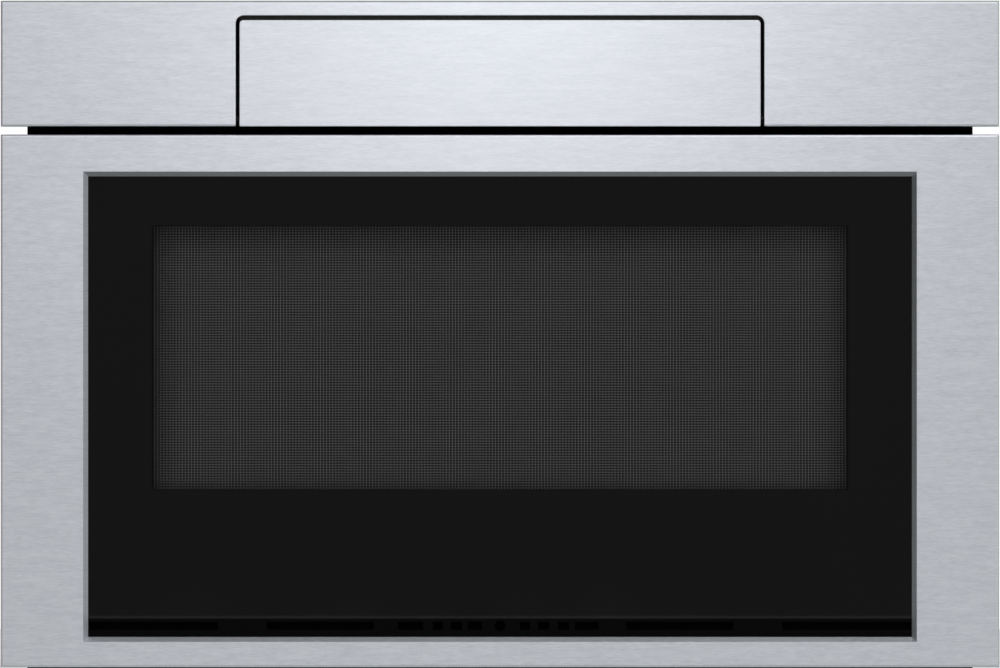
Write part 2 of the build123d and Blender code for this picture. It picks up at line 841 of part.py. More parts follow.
def fascia_backing():
    y = (front_back_y, frame_y[0])
    return across(door_inner_x, y, grow(fascia_z, -front_sheet)) - flap_opening(y)


# ---- The chassis -----------------------------------------------------------------------------------
def striker_places():
    """Side and height of each striker that presses switches."""
    left_z = (primary_z - striker_height / 2, secondary_z + striker_height / 2)
    right_z = (monitor_z - striker_height / 2, monitor_z + striker_height / 2)
    return [(-1, left_z), (1, right_z)]


def front_frame():
    frame = across(body_x, frame_y, (0, body_top))
    frame -= across(cavity_x, frame_y, (cavity_floor_z, ceiling_z))
    frame -= across(opening_x, frame_y, (frame_cut_bottom, opening_top + 1))
    for cut in passages():
        frame -= cut
    return frame


def base_plate():
    plate = across(body_x, (frame_y[1], back_y[0]), (0, base_sheet))
    for row in range(base_vent_rows):
        y = base_vent_y + row * vent_pitch
        plate -= across(vent_width, (y, y + vent_height), (0, base_sheet))
    return plate


def case_wrap():
    """One folded sheet for both sides and the top."""
    y = (frame_y[1], back_y[0])
    wrap = across(body_x, y, (base_sheet, body_top))
    wrap -= across(inner_x, y, (base_sheet, body_top - case_sheet))
    slot_end = back_y[0] - side_vent_inset
    for row in range(side_vent_rows):
        z = side_vent_z + row * vent_pitch
        wrap -= across(body_x, (slot_end - vent_width, slot_end), (z, z + vent_height))
    return wrap


def screw_places():
    """X and Z of the screws round the back plate."""
    columns = [body_x - screw_inset, body_x / 3]
    xs = [-columns[0], -columns[1], columns[1], columns[0]]
    places = [(x, z) for x in xs for z in (screw_inset, body_top - screw_inset)]
    return places + [(x, body_top / 2) for x in (xs[0], xs[-1])]


def back_plate():
    plate = across(body_x, back_y, (0, body_top))
    plate -= rod_y(bush_x, back_y, bush_z, bush_radius)
    plate -= rod_y(fan_x, back_y, fan_z, fan_radius - fan_hub) - rod_y(fan_x, back_y, fan_z, fan_hub)
    plate += block(grow((fan_x, fan_x), fan_guard_width / 2), back_y, grow((fan_z, fan_z), fan_radius))
    for x, z in screw_places():
        plate -= rod_y(x, back_y, z, screw_hole)
    column = body_x - back_vent_inset
    for row in range(back_vent_rows):
        z = back_vent_z + row * vent_pitch
        for x in (-column, 0, column):
            plate -= block(grow((x, x), vent_width), back_y, (z, z + vent_height))
    return plate


def case_screws():
    screws = []
    for x, z in screw_places():
        head = rod_y(x, (back_y[1], back_y[1] + screw_head_height), z, screw_head)
        screws.append(head + rod_y(x, back_y, z, screw_shank))
    return Compound(children=screws)


def cord_bush():
    """The bush that the supply lead would pass through."""
    bush = rod_y(bush_x, (back_y[0] - bush_lip, back_y[1]), bush_z, bush_radius)
    for y in ((back_y[0] - bush_lip, back_y[0]), (back_y[1], back_y[1] + bush_projection)):
        bush += rod_y(bush_x, y, bush_z, bush_radius + bush_flange)
    return bush - rod_y(bush_x, (back_y[0] - bush_lip, back_y[1] + bush_projection), bush_z, bush_bore)


def mounting_brackets():
    """Angles on the sides of the body, with the screw holes for the cabinet."""
    ear_z = (ear_low_z, ear_high_z)
    ear = block((body_x, body_x + ear_width), frame_y, ear_z)
    ear += block((body_x, body_x + frame_sheet), (frame_y[0], frame_y[1] + ear_return), ear_z)
    for z in (ear_screw_low, ear_screw_high):
        ear -= rod_y(ear_screw_x, frame_y, z, ear_screw_radius)
    return pair(ear)


def door_bumpers():
    y = (front_back_y + running_gap, frame_y[0])
    pieces = []
    for z in (drawer_z[0] + bumper_inset, drawer_z[1] - bumper_inset):
        for x in (bumper_inset - body_x, body_x - bumper_inset):
            pieces.append(rod_y(x, y, z, bumper_radius))
    return Compound(children=pieces)


# ---- The cavity and the microwave works ------------------------------------------------------------
def cavity_shell():
    x = (cavity_x, cavity_x + liner_sheet)
    outer_z = (cavity_floor_z - liner_sheet, ceiling_z + liner_sheet)
    y = cavity_y
    floor = across(x[1], y, (outer_z[0], cavity_floor_z))
    ceiling = across(x[1], y, (ceiling_z, outer_z[1]))
    ceiling -= rod_z(0, stirrer_y, (ceiling_z, outer_z[1]), stirrer_hole)
    side = block(x, y, (cavity_floor_z, ceiling_z))
    back = across(x[1], (y[1], y[1] + liner_sheet), outer_z)
    return Compound(children=[floor, ceiling, side, mirror(side, about=Plane.YZ), back])


def waveguide():
    tube = across(guide_half_width, guide_y, guide_z)
    tube -= across(guide_half_width - liner_sheet, grow(guide_y, -liner_sheet), grow(guide_z, -liner_sheet))
    floor = (guide_z[0], guide_z[0] + liner_sheet)
    tube -= rod_z(0, stirrer_y, floor, stirrer_hole)
    tube -= rod_z(0, magnetron_y, floor, antenna_radius + 2)
    return tube - rod_z(0, stirrer_y, (guide_z[1] - liner_sheet, guide_z[1]), stirrer_shaft + 2)


def waveguide_cover():
    """The mica sheet in the cavity's ceiling."""
    y = grow((stirrer_y, stirrer_y), mica_half)
    return across(mica_half, y, (ceiling_z - mica_thick, ceiling_z))


def stirrer_motor():
    z = (guide_z[1], guide_z[1] + stirrer_motor_height)
    motor = rod_z(0, stirrer_y, z, stirrer_motor_radius)
    motor += block((-6, 6), grow((stirrer_y, stirrer_y), stirrer_motor_radius + 8), (z[0], z[0] + 2))
    return motor - rod_z(0, stirrer_y, (z[0], z[1] - 4), stirrer_shaft + shaft_fit)


def stirrer_blade():
    z0 = guide_z[0] + stirrer_drop
    hub = rod_z(0, stirrer_y, (z0, z0 + 8), 3 * stirrer_shaft)
    shaft = rod_z(0, stirrer_y, (z0, guide_z[1] + stirrer_motor_height - 5), stirrer_shaft)
    blade = hub + shaft
    for number in range(4):
        vane = block((0, stirrer_radius), (-7, 7), (0, 1))
        vane += block((stirrer_radius - 12, stirrer_radius - 11), (-7, 7), (0, 12))
        blade += Pos(0, stirrer_y, z0) * Rot(0, 0, 90 * number) * vane
    return blade


def magnetron():
    """Yoke plates, cooling fins round the core, filter box below and antenna above."""
    top = guide_z[0]
    bottom = top - magnetron_height
    yoke_z = (bottom + filter_box_height, top)
    half = magnetron_half
    y = (magnetron_y - half, magnetron_y + half)
    body = rod_z(0, magnetron_y, (bottom, top), magnetron_core)
    for z in (yoke_z[0], top - magnetron_flange):
        body += across(half, y, (z, z + magnetron_flange))
    for side in ((half - magnetron_yoke, half), (-half, magnetron_yoke - half)):
        body += block(side, y, yoke_z)
    fin_z = (yoke_z[0] + fin_start, top - fin_stop)
    step = (fin_z[1] - fin_z[0]) / fin_count
    for number in range(fin_count):
        z = fin_z[0] + number * step
        body += across(half, y, (z, z + fin_sheet))
    box = half * filter_box_share
    body += across(box, (magnetron_y - box, magnetron_y + box), (bottom, yoke_z[0]))
    return body + rod_z(0, magnetron_y, (top, top + antenna_height), antenna_radius)


def transformer_core():
    x = grow((transformer_x, transformer_x), core_width / 2)
    y = grow((transformer_y, transformer_y), core_stack / 2)
    core = block(x, y, (base_sheet, base_sheet + core_height))
    window_z0 = base_sheet + core_leg
    window_z1 = base_sheet + core_height - core_leg
    for low in (x[0] + core_leg, x[1] - core_leg - core_window):
        core -= block((low, low + core_window), y, (window_z0, window_z1))
    return core


def transformer_coils():
    leg = core_width / 2 - core_leg - core_window
    outer = leg + core_window - coil_gap
    stack = core_stack / 2
    z0 = base_sheet + core_leg + coil_gap
    z1 = base_sheet + core_height - core_leg - coil_gap
    middle = (z0 + z1) / 2
    coils = []
    for z in ((z0, middle - coil_gap), (middle + coil_gap, z1)):
        centre = Pos(transformer_x, transformer_y, sum(z) / 2)
        ring = Box(2 * outer, 2 * (stack + core_window), z[1] - z[0])
        ring = fillet(ring.edges().filter_by(Axis.Z), core_window / 2)
        inner = Box(2 * (leg + coil_clearance), 2 * (stack + coil_clearance), z[1] - z[0])
        coils.append(centre * (ring - inner))
    return Compound(children=coils)


def capacitor():
    outline = RectangleRounded(capacitor_width, capacitor_thick, capacitor_corner)
    plane = Plane.XY.offset(base_sheet)
    can = extrude(plane * Pos(capacitor_x, capacitor_y) * outline, amount=capacitor_height)
    top = base_sheet + capacitor_height
    for x in (capacitor_x - tab_spacing / 2, capacitor_x + tab_spacing / 2):
        tab_y = grow((capacitor_y, capacitor_y), tab_thick / 2)
        can += block(grow((x, x), tab_width / 2), tab_y, (top, top + tab_height))
    return can


def fan_shroud():
    """A square housing with a round duct, and arms that carry the motor."""
    half = fan_radius + fan_tip_gap + shroud_wall
    y = (fan_y, back_y[0])
    shroud = block(grow((fan_x, fan_x), half), y, grow((fan_z, fan_z), half))
    shroud -= rod_y(fan_x, y, fan_z, fan_radius + fan_tip_gap)
    arm_y = (fan_y - fan_arm, fan_y)
    arms = block(grow((fan_x, fan_x), half), arm_y, grow((fan_z, fan_z), fan_arm_width / 2))
    arms += block(grow((fan_x, fan_x), fan_arm_width / 2), arm_y, grow((fan_z, fan_z), half))
    arms += rod_y(fan_x, arm_y, fan_z, fan_motor_radius)
    foot = block(grow((fan_x, fan_x), half / 2), y, (base_sheet, fan_z - half))
    return shroud + arms - rod_y(fan_x, arm_y, fan_z, fan_shaft + 1) + foot


def fan_motor():
    y = (fan_y - fan_arm - fan_motor_length, fan_y - fan_arm)
    motor = rod_y(fan_x, y, fan_z, fan_motor_radius)
    return motor - rod_y(fan_x, (y[1] - 12, y[1]), fan_z, fan_shaft + shaft_fit)


def fan_blade():
    y = (fan_y + 3, fan_y + shroud_depth - 5)
    fan = rod_y(fan_x, y, fan_z, fan_hub)
    fan += rod_y(fan_x, (fan_y - fan_arm - 11, y[1]), fan_z, fan_shaft)
    depth = y[1] - y[0]
    for number in range(fan_blades):
        blade = Box(fan_radius - fan_hub + 3, 1.4, depth * 1.05)
        blade = Pos((fan_radius + fan_hub - 3) / 2, 0, 0) * Rot(fan_pitch + 90, 0, 0) * blade
        fan += Pos(fan_x, sum(y) / 2, fan_z) * Rot(0, 360 * number / fan_blades, 0) * blade
    return fan


def component_shelf():
    """The sheet over the cavity that carries the boards and the flap's motor."""
    y = (frame_y[1], cavity_y[1])
    shelf = across(inner_x, y, (shelf_z, shelf_top))
    return shelf - rod_z(0, stirrer_y, (shelf_z, shelf_top), stirrer_motor_radius + 10)


def circuit_board(corner, size, parts):
    """A board on four posts, with its larger components as plain blocks: place, size and height."""
    x = (corner[0], corner[0] + size[0])
    y = (corner[1], corner[1] + size[1])
    z = shelf_top + board_post
    top = z + board_sheet
    board = block(x, y, (z, top))
    for post_x in (x[0] + board_post_inset, x[1] - board_post_inset):
        for post_y in (y[0] + board_post_inset, y[1] - board_post_inset):
            board += rod_z(post_x, post_y, (shelf_top, z), board_post_radius)
    for left, front, width, depth, height in parts:
        part_x = (x[0] + left, x[0] + left + width)
        part_y = (y[0] + front, y[0] + front + depth)
        board += block(part_x, part_y, (top, top + height))
    return board


def power_board():
    parts = [
        (10, 10, 42, 36, 30),
        (64, 12, 22, 22, 24),
        (96, 14, 40, 14, 20),
        (14, 64, 18, 40, 16),
        (60, 60, 60, 12, 35),
    ]
    return circuit_board((board_inset - body_x, frame_y[1] + board_setback), power_board_size, parts)


def control_board():
    parts = [
        (10, 12, 20, 20, 4),
        (40, 10, 30, 12, 10),
        (14, 50, 60, 10, 8),
    ]
    left = body_x - board_inset - control_board_size[0]
    return circuit_board((left, frame_y[1] + board_setback), control_board_size, parts)


def cavity_lamp():
    """A lamp holder on the cavity's side wall, with its bulb."""
    x0 = cavity_x + liner_sheet
    x1 = x0 + lamp_holder_depth
    y0 = frame_y[1] + lamp_setback
    top = ceiling_z - lamp_top
    holder = block((x0, x1), (y0, y0 + lamp_width), (top - lamp_height, top))
    middle = (y0 + lamp_width / 2, top - lamp_height / 2)
    return holder + rod_x((x1, x1 + lamp_bulb_length), *middle, lamp_bulb_radius)


def latch_strikers():
    pieces = []
    for side, z in striker_places():
        x = (side * striker_x - striker_width / 2, side * striker_x + striker_width / 2)
        pieces.append(block(x, (carrier_y[1], frame_y[1] + striker_reach), z))
    return Compound(children=pieces)


switch_places = {"primary": (-1, primary_z), "secondary": (-1, secondary_z), "monitor": (1, monitor_z)}


def switch_blocks():
    """Door switches on the back of the front frame, each with an arm that reaches the frame."""
    pieces = []
    front = plunger_y + plunger_out
    for side, z in switch_places.values():
        x = side * striker_x
        span = grow((z, z), switch_height / 2 - 3)
        body = block(grow((x, x), switch_width / 2), (front, front + switch_depth), span)
        arm_x = sorted((x + side * switch_width / 2, x + side * (switch_width / 2 + switch_arm)))
        body += block(arm_x, (frame_y[1], front + switch_depth), span)
        bore = (front, front + plunger_in + plunger_spare)
        pieces.append(body - rod_y(x, bore, z, plunger_radius + shaft_fit))
    return Compound(children=pieces)


def plunger(place):
    side, z = switch_places[place]
    return rod_y(side * striker_x, (plunger_y, plunger_y + plunger_out + plunger_in), z, plunger_radius)


def plunger_primary():
    return plunger("primary")


def plunger_secondary():
    return plunger("secondary")


def plunger_monitor():
    return plunger("monitor")


# ---- One file for each sub-part --------------------------------------------------------------------
slide_middle_right = slide_middle
sub_parts = {
    "base_plate": base_plate,
    "case_wrap": case_wrap,
    "back_plate": back_plate,
    "case_screws": case_screws,
    "cord_bush": cord_bush,
    "front_frame": front_frame,
    "mounting_brackets": mounting_brackets,
    "door_bumpers": door_bumpers,
    "cavity_shell": cavity_shell,
    "waveguide": waveguide,
    "waveguide_cover": waveguide_cover,
    "stirrer_motor": stirrer_motor,
    "stirrer_blade": stirrer_blade,
    "magnetron": magnetron,
    "transformer_core": transformer_core,
    "transformer_coils": transformer_coils,
    "capacitor": capacitor,
    "fan_shroud": fan_shroud,
    "fan_motor": fan_motor,
    "fan_blade": fan_blade,
    "component_shelf": component_shelf,
    "power_board": power_board,
    "control_board": control_board,
    "cavity_lamp": cavity_lamp,
    "switch_blocks": switch_blocks,
    "plunger_primary": plunger_primary,
    "plunger_secondary": plunger_secondary,
    "plunger_monitor": plunger_monitor,
    "slide_supports": slide_supports,
    "slide_outers": slide_outers,
    "slide_middle_left": slide_middle_left,
    "slide_middle_right": slide_middle_right,
    "slide_inners": slide_inners,
    "rail_brackets": rail_brackets,
    "drawer_motor": drawer_motor,
    "drive_pinion": drive_pinion,
    "rack": rack,
    "rack_beam": rack_beam,
    "latch_strikers": latch_strikers,
    "door_panel": door_panel,
    "door_glass": door_glass,
    "vent_grille": vent_grille,
    "door_carrier": door_carrier,
    "door_screen": door_screen,
    "choke_frame": choke_frame,
    "choke_cover": choke_cover,
    "door_back": door_back,
    "container_walls": container_walls,
    "container_pan": container_pan,
    "ceramic_floor": ceramic_floor,
    "top_fascia": top_fascia,
    "fascia_backing": fascia_backing,
    "flap_skin": flap_skin,
    "flap_body": flap_body,
    "touch_glass": touch_glass,
    "flap_pins": flap_pins,
    "flap_sector": flap_sector,
    "flap_brackets": flap_brackets,
    "flap_pinion": flap_pinion,
    "flap_motor": flap_motor,
}

os.makedirs("parts", exist_ok=True)
for name, make in sub_parts.items():
    export_step(make(), f"parts/{name}.step")
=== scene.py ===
import math

import bmesh
import bpy
from mathutils import Matrix, Vector


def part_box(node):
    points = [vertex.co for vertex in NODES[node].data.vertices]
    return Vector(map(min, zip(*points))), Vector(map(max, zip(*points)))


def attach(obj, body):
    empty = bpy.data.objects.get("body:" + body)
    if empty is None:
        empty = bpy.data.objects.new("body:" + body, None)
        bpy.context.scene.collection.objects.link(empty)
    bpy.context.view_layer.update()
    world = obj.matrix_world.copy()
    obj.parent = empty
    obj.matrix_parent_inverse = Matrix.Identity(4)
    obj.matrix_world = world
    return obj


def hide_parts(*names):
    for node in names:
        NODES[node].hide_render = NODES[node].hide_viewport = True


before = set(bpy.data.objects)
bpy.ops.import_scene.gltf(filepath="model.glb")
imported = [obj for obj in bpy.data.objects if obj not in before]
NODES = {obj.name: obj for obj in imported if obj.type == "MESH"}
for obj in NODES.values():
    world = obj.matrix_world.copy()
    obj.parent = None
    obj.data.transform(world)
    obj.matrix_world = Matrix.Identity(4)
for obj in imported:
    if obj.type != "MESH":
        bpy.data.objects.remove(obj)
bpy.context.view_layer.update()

MM = 0.001
SIDES = (-1, 1)  # left and right
LEFT, RIGHT, BACK, UP = (-1, 0, 0), (1, 0, 0), (0, 1, 0), (0, 0, 1)


def corners(node):
    """The low and high corners of a CAD node's box, in mm."""
    return [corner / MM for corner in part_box(node)]


# ---- Sizes, in mm, that several pieces share -------------------------------------------------------
# The sizes that only one piece has stand above that piece.
CASE_X = corners("case_wrap")[1].x  # half the width of the case
CASE_TOP = corners("case_wrap")[1].z
CASE_BACK = corners("back_plate")[1].y
GLASS_TUCK = 5.0  # window glass hidden behind the lips
SCREEN = corners("door_screen")
SCREEN_MARGIN = 8.0  # plain border of the screen round its field of holes
FIELD_X = SCREEN[1].x - SCREEN_MARGIN  # half the width of the field
FIELD_Z = (SCREEN[0].z + SCREEN_MARGIN, SCREEN[1].z - SCREEN_MARGIN)


# ---- Colours and nodes -----------------------------------------------------------------------------
def paint(code):
    """An sRGB hex colour as the linear RGBA that Blender's sockets hold."""
    channels = [int(code[i:i + 2], 16) / 255 for i in (1, 3, 5)]
    linear = [c / 12.92 if c <= 0.04045 else ((c + 0.055) / 1.055) ** 2.4 for c in channels]
    return (*linear, 1.0)


def add(tree, kind, inputs=None, **settings):
    """Adds a node, with its settings, and its inputs as values or as sockets to link from."""
    node = tree.nodes.new("ShaderNode" + kind)
    for name, value in settings.items():
        setattr(node, name, value)
    for key, value in (inputs or {}).items():
        if isinstance(value, bpy.types.NodeSocket):
            tree.links.new(value, node.inputs[key])
        else:
            node.inputs[key].default_value = value
    return node


def new_material(name):
    material = bpy.data.materials.new(name)
    material.use_nodes = True
    material.node_tree.nodes.clear()
    return material, material.node_tree


def stretched(tree, per_mm, detail=3.0, roughness=0.55, offset=(0.0, 0.0, 0.0)):
    """Noise from 0 to 1 whose features are so many to the millimetre along each axis."""
    mapping = add(tree, "Mapping", {
        "Vector": add(tree, "TexCoord").outputs["Object"],
        "Scale": [scale / MM for scale in per_mm],
        "Location": offset,
    })
    noise = add(tree, "TexNoise", {
        "Vector": mapping.outputs["Vector"],
        "Scale": 1.0,
        "Detail": detail,
        "Roughness": roughness,
    })
    return noise.outputs["Fac"]


def band(tree, value, low, high, rise, fall=None, outside=0.0):
    """1 between two levels, and less within a short way of each, down to what it is outside."""
    fall = rise if fall is None else fall
    start = add(tree, "MapRange", {0: value, 1: low, 2: low + rise, 3: outside}).outputs[0]
    end = add(tree, "MapRange", {0: value, 1: high - fall, 2: high, 3: 1.0, 4: outside}).outputs[0]
    return add(tree, "Math", {0: start, 1: end}, operation="MULTIPLY").outputs[0]


# ---- Finishes --------------------------------------------------------------------------------------
# A MapRange node's inputs 1 and 2 are the range it reads, 3 and 4 the one it gives, 0 to 1 unless set.
# A Mix node of colours blends its inputs 6 and 7 into output 2, and one of numbers 2 and 3 into output 0.
NOISE_LOW = 0.3  # most of a noise's values lie between these
NOISE_HIGH = 0.7


def finish(name, dark, light, rough, per_mm, metallic=0.0, bump=0.0, bump_mm=0.02, fine=None, detail=3.0,
           **uniform):
    """A rigid finish: two close colours, a range of roughness and a bump, all from noise at a real scale.
    fine is the scale of the bump's own noise where it isn't the colour's."""
    material, tree = new_material(name)
    grain = stretched(tree, per_mm, detail=detail)
    tone = add(tree, "MapRange", {0: grain, 1: NOISE_LOW, 2: NOISE_HIGH}).outputs[0]
    ends = {0: tone, 6: paint(dark), 7: paint(light)}
    inputs = {
        "Base Color": add(tree, "Mix", ends, data_type="RGBA").outputs[2],
        "Metallic": metallic,
        "Roughness": add(tree, "MapRange", {0: tone, 3: rough[0], 4: rough[1]}).outputs[0],
    }
    if bump:
        height = stretched(tree, fine, detail=2.0) if fine else grain
        relief = add(tree, "Bump", {"Strength": bump, "Distance": bump_mm * MM, "Height": height})
        inputs["Normal"] = relief.outputs["Normal"]
    shader = add(tree, "BsdfPrincipled", {**inputs, **uniform})
    add(tree, "OutputMaterial", {"Surface": shader.outputs["BSDF"]})
    return material


def brushed_stainless(name, painted_shade):
    """Brushed 304 stainless steel sheet, grain across the front: pale, slightly cool, with short fine
    horizontal scratches and a soft mottle where the abrasive belt ran heavier. Some of the bent edges get
    painted shade, a darker grey mixed in over them; painted_shade gives the mask of those."""
    material, tree = new_material(name)
    # The scratches are about 5.6 mm long and 0.6 mm wide, and the belt's marks 33 mm and 4 mm.
    scratches = stretched(tree, (0.18, 0.18, 1.6), detail=4.0, roughness=0.65)
    belt = stretched(tree, (0.03, 0.03, 0.25), detail=2.0, offset=(3.0, 1.0, 7.0))
    both = add(tree, "Math", {0: belt, 1: 0.4, 2: scratches}, operation="MULTIPLY_ADD").outputs[0]
    tone = add(tree, "MapRange", {0: both, 1: 0.4, 2: 1.0}).outputs[0]
    ends = {0: tone, 6: paint("#D3D7DE"), 7: paint("#EEF1F7")}
    colour = add(tree, "Mix", ends, data_type="RGBA").outputs[2]
    # Painted shade: the masked bent edges are mixed towards a darker grey.
    ends = {0: painted_shade(tree), 6: colour, 7: paint("#9A9CA0")}
    colour = add(tree, "Mix", ends, data_type="RGBA").outputs[2]
    relief = add(tree, "Bump", {"Strength": 0.12, "Distance": 0.01 * MM, "Height": scratches})
    rough = {0: scratches, 1: NOISE_LOW, 2: NOISE_HIGH, 3: 0.31, 4: 0.39}
    shader = add(tree, "BsdfPrincipled", {
        "Base Color": colour,
        "Metallic": 1.0,
        "Roughness": add(tree, "MapRange", rough).outputs[0],
        "Normal": relief.outputs["Normal"],
    })
    add(tree, "OutputMaterial", {"Surface": shader.outputs["BSDF"]})
    return material


LIP_SOFT = 0.2  # mm over which the painted shade comes in
LIP_START = 0.05  # how far behind the face the painted shade starts
LIP_REACH = 1.0  # how far the painted shade on the lips goes on behind the front of the glass
LIP_FOOT = 20.0  # how far the right lip goes on below the glass
RIGHT_LIP_SHADE = 0.56  # strength of the painted shade on the right lip, where the upper one has 1


def lip_shade_mask(tree):
    """Painted shade, from 0 to 1 on the bent lips above and to the right of the window, which meet in a
    mitre.
    """
    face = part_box("door_panel")[0].y
    low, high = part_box("door_glass")
    inner = high.x - GLASS_TUCK * MM
    top = high.z - GLASS_TUCK * MM
    lip = low.y - face  # the lips slope at 45 degrees, so they are as wide as deep
    soft = LIP_SOFT * MM
    axes = add(tree, "SeparateXYZ", {"Vector": add(tree, "TexCoord").outputs["Object"]}).outputs
    out = add(tree, "Math", {0: axes["X"]}, operation="ABSOLUTE").outputs[0]
    rise = add(tree, "Math", {0: axes["Z"], 1: out}, operation="SUBTRACT").outputs[0]
    over_mitre = add(tree, "Math", {0: rise, 1: top - inner}, operation="GREATER_THAN").outputs[0]
    right = add(tree, "MapRange", {0: axes["X"], 1: inner, 2: inner + soft, 4: RIGHT_LIP_SHADE}).outputs[0]
    mask = add(tree, "Mix", {0: over_mitre, 2: right, 3: 1.0}).outputs[0]
    outer = inner + lip + soft
    for part in (
        band(tree, axes["X"], -outer, outer, soft),
        band(tree, axes["Z"], low.z - LIP_FOOT * MM, top + lip + soft, soft),
        band(tree, axes["Y"], face + LIP_START * MM, low.y + LIP_REACH * MM, soft),
    ):
        mask = add(tree, "Math", {0: mask, 1: part}, operation="MULTIPLY").outputs[0]
    return mask


FASCIA_FOLD = (1.4, 0.4)  # the painted shade on the fascia's fold comes in between these, in mm below its top


def fold_shade_mask(tree):
    """Painted shade, from 0 to 1 on the folded upper edge of the fascia."""
    start, end = (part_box("top_fascia")[1].z - below * MM for below in FASCIA_FOLD)
    axes = add(tree, "SeparateXYZ", {"Vector": add(tree, "TexCoord").outputs["Object"]}).outputs
    return add(tree, "MapRange", {0: axes["Z"], 1: start, 2: end}).outputs[0]


ZINC_CRYSTAL = 6.06  # mm across
CRYSTAL_WANDER = 3.0  # mm by which their borders bend
WANDER_SCALE = 2.5  # mm from bend to bend


def galvanised_sheet():
    """Hot-dip galvanised steel: cool matt grey, its zinc crystals about 6 mm across and each a shade lighter
    or darker than the next, over slow drifts of tone where the zinc cooled unevenly."""
    material, tree = new_material("galvanised_sheet")
    place = add(tree, "TexCoord").outputs["Object"]
    wander = {"Vector": place, "Scale": 1 / (WANDER_SCALE * MM), "Detail": 2.0}
    shift = add(tree, "VectorMath", {
        0: add(tree, "TexNoise", wander).outputs["Color"],
        "Scale": CRYSTAL_WANDER * MM,
    }, operation="SCALE").outputs["Vector"]
    bent = add(tree, "VectorMath", {0: place, 1: shift}, operation="ADD").outputs["Vector"]
    crystals = add(tree, "TexVoronoi", {"Vector": bent, "Scale": 1 / (ZINC_CRYSTAL * MM)}).outputs["Color"]
    shade = add(tree, "SeparateColor", {"Color": crystals}).outputs["Red"]
    drift = stretched(tree, (0.006, 0.006, 0.006), detail=2.0)
    tone = add(tree, "Math", {0: shade, 1: 0.3, 2: drift}, operation="MULTIPLY_ADD").outputs[0]
    tone = add(tree, "MapRange", {0: tone, 1: 0.35, 2: 1.0}).outputs[0]
    ends = {0: tone, 6: paint("#B2B6B9"), 7: paint("#C9CCCE")}
    shader = add(tree, "BsdfPrincipled", {
        "Base Color": add(tree, "Mix", ends, data_type="RGBA").outputs[2],
        "Metallic": 1.0,
        "Roughness": add(tree, "MapRange", {0: shade, 3: 0.38, 4: 0.48}).outputs[0],
    })
    add(tree, "OutputMaterial", {"Surface": shader.outputs["BSDF"]})
    return material


# Sizes of the print on the back of the window glass, in mm.
PRINT_EDGE = 0.3  # the print ends over this much
SIDE_SHADOW_LINE = 1.3  # painted shadow line at each side of the field, where the print is solid
FADE_SIDES = 20.0  # the film over the field thickens over this much at the sides
FADE_ABOVE = 24.0
FADE_BELOW = 10.0
FADE_FOOT = 1.0  # the lower fade starts this far below the field
FADED_SIDES = 0.84  # share of the clearness that is left at the sides
FADED_ENDS = 0.83  # and at the top and bottom
FILM = 0.165  # how solid the film is in the middle
ARRIS = (2.2, 2.8)  # height of the ground edge, and where the plain print begins
LIP_SHADOW = 0.9  # width of the shadow that the lips lay on the glass
FAR_BELOW = 1000.0  # no lip throws a shadow on the lower edge


def window_glass():
    """Soda-lime glass, screen-printed black on its back: deep, glossy and even. Over the screen's holes the
    print is only a thin film, thicker towards the edges of the field. The lower edge of the glass is ground,
    and the lips' shadow lies on its other edges."""
    material, tree = new_material("printed_soda_lime_glass")
    axes = add(tree, "SeparateXYZ", {"Vector": add(tree, "TexCoord").outputs["Object"]}).outputs
    half, low, high, sharp, side = (v * MM for v in (FIELD_X, *FIELD_Z, PRINT_EDGE, SIDE_SHADOW_LINE))
    # The clear field stops short of the painted shadow lines at its sides.
    clear = band(tree, axes["X"], side - half, half - side, sharp)
    field = band(tree, axes["X"], -half, half, sharp)
    upright = band(tree, axes["Z"], low, high, sharp)
    field = add(tree, "Math", {0: field, 1: upright}, operation="MULTIPLY").outputs[0]
    for part in (
        upright,
        band(tree, axes["X"], -half, half, FADE_SIDES * MM, outside=FADED_SIDES),
        band(tree, axes["Z"], low - FADE_FOOT * MM, high, FADE_BELOW * MM, FADE_ABOVE * MM, FADED_ENDS),
    ):
        clear = add(tree, "Math", {0: clear, 1: part}, operation="MULTIPLY").outputs[0]
    solid = add(tree, "MapRange", {0: clear, 3: 1.0, 4: FILM}).outputs[0]
    first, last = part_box("door_glass")
    ground, plain = (first.z + height * MM for height in ARRIS)
    arris = add(tree, "MapRange", {0: axes["Z"], 1: ground, 2: plain, 3: 1.0, 4: 0.0}).outputs[0]
    tuck = GLASS_TUCK * MM
    lit = band(tree, axes["X"], first.x + tuck, last.x - tuck, LIP_SHADOW * MM)
    lit_below = band(tree, axes["Z"], first.z - FAR_BELOW * MM, last.z - tuck, LIP_SHADOW * MM)
    lit = add(tree, "Math", {0: lit, 1: lit_below}, operation="MULTIPLY").outputs[0]
    ends = {0: arris, 6: paint("#1A1A1A"), 7: paint("#272727")}
    black = add(tree, "Mix", ends, data_type="RGBA").outputs[2]
    # Painted shadow: the black is darker over the field, which shows in the solid lines at its sides.
    black = add(tree, "Mix", {0: field, 6: black, 7: paint("#0E0E0E")}, data_type="RGBA").outputs[2]
    body = add(tree, "BsdfPrincipled", {
        "Base Color": add(tree, "Mix", {0: lit, 6: paint("#060606"), 7: black}, data_type="RGBA").outputs[2],
        "Roughness": 0.5,
        "Specular IOR Level": 0.0,
    })
    film = add(tree, "BsdfTransparent", {"Color": paint("#EFEFEF")})
    backed = add(tree, "MixShader", {0: solid, 1: film.outputs["BSDF"], 2: body.outputs["BSDF"]})
    dust = stretched(tree, (0.02, 0.02, 0.02), detail=2.0)
    rough = {0: dust, 1: NOISE_LOW, 2: NOISE_HIGH, 3: 0.02, 4: 0.05}
    polish = add(tree, "BsdfGlossy", {
        "Color": paint("#FFFFFF"),
        "Roughness": add(tree, "MapRange", rough).outputs[0],
    })
    mirror = add(tree, "Fresnel", {"IOR": 1.5})
    shader = add(tree, "MixShader", {
        0: mirror.outputs["Fac"], 1: backed.outputs["Shader"], 2: polish.outputs["BSDF"],
    })
    add(tree, "OutputMaterial", {"Surface": shader.outputs["Shader"]})
    return material


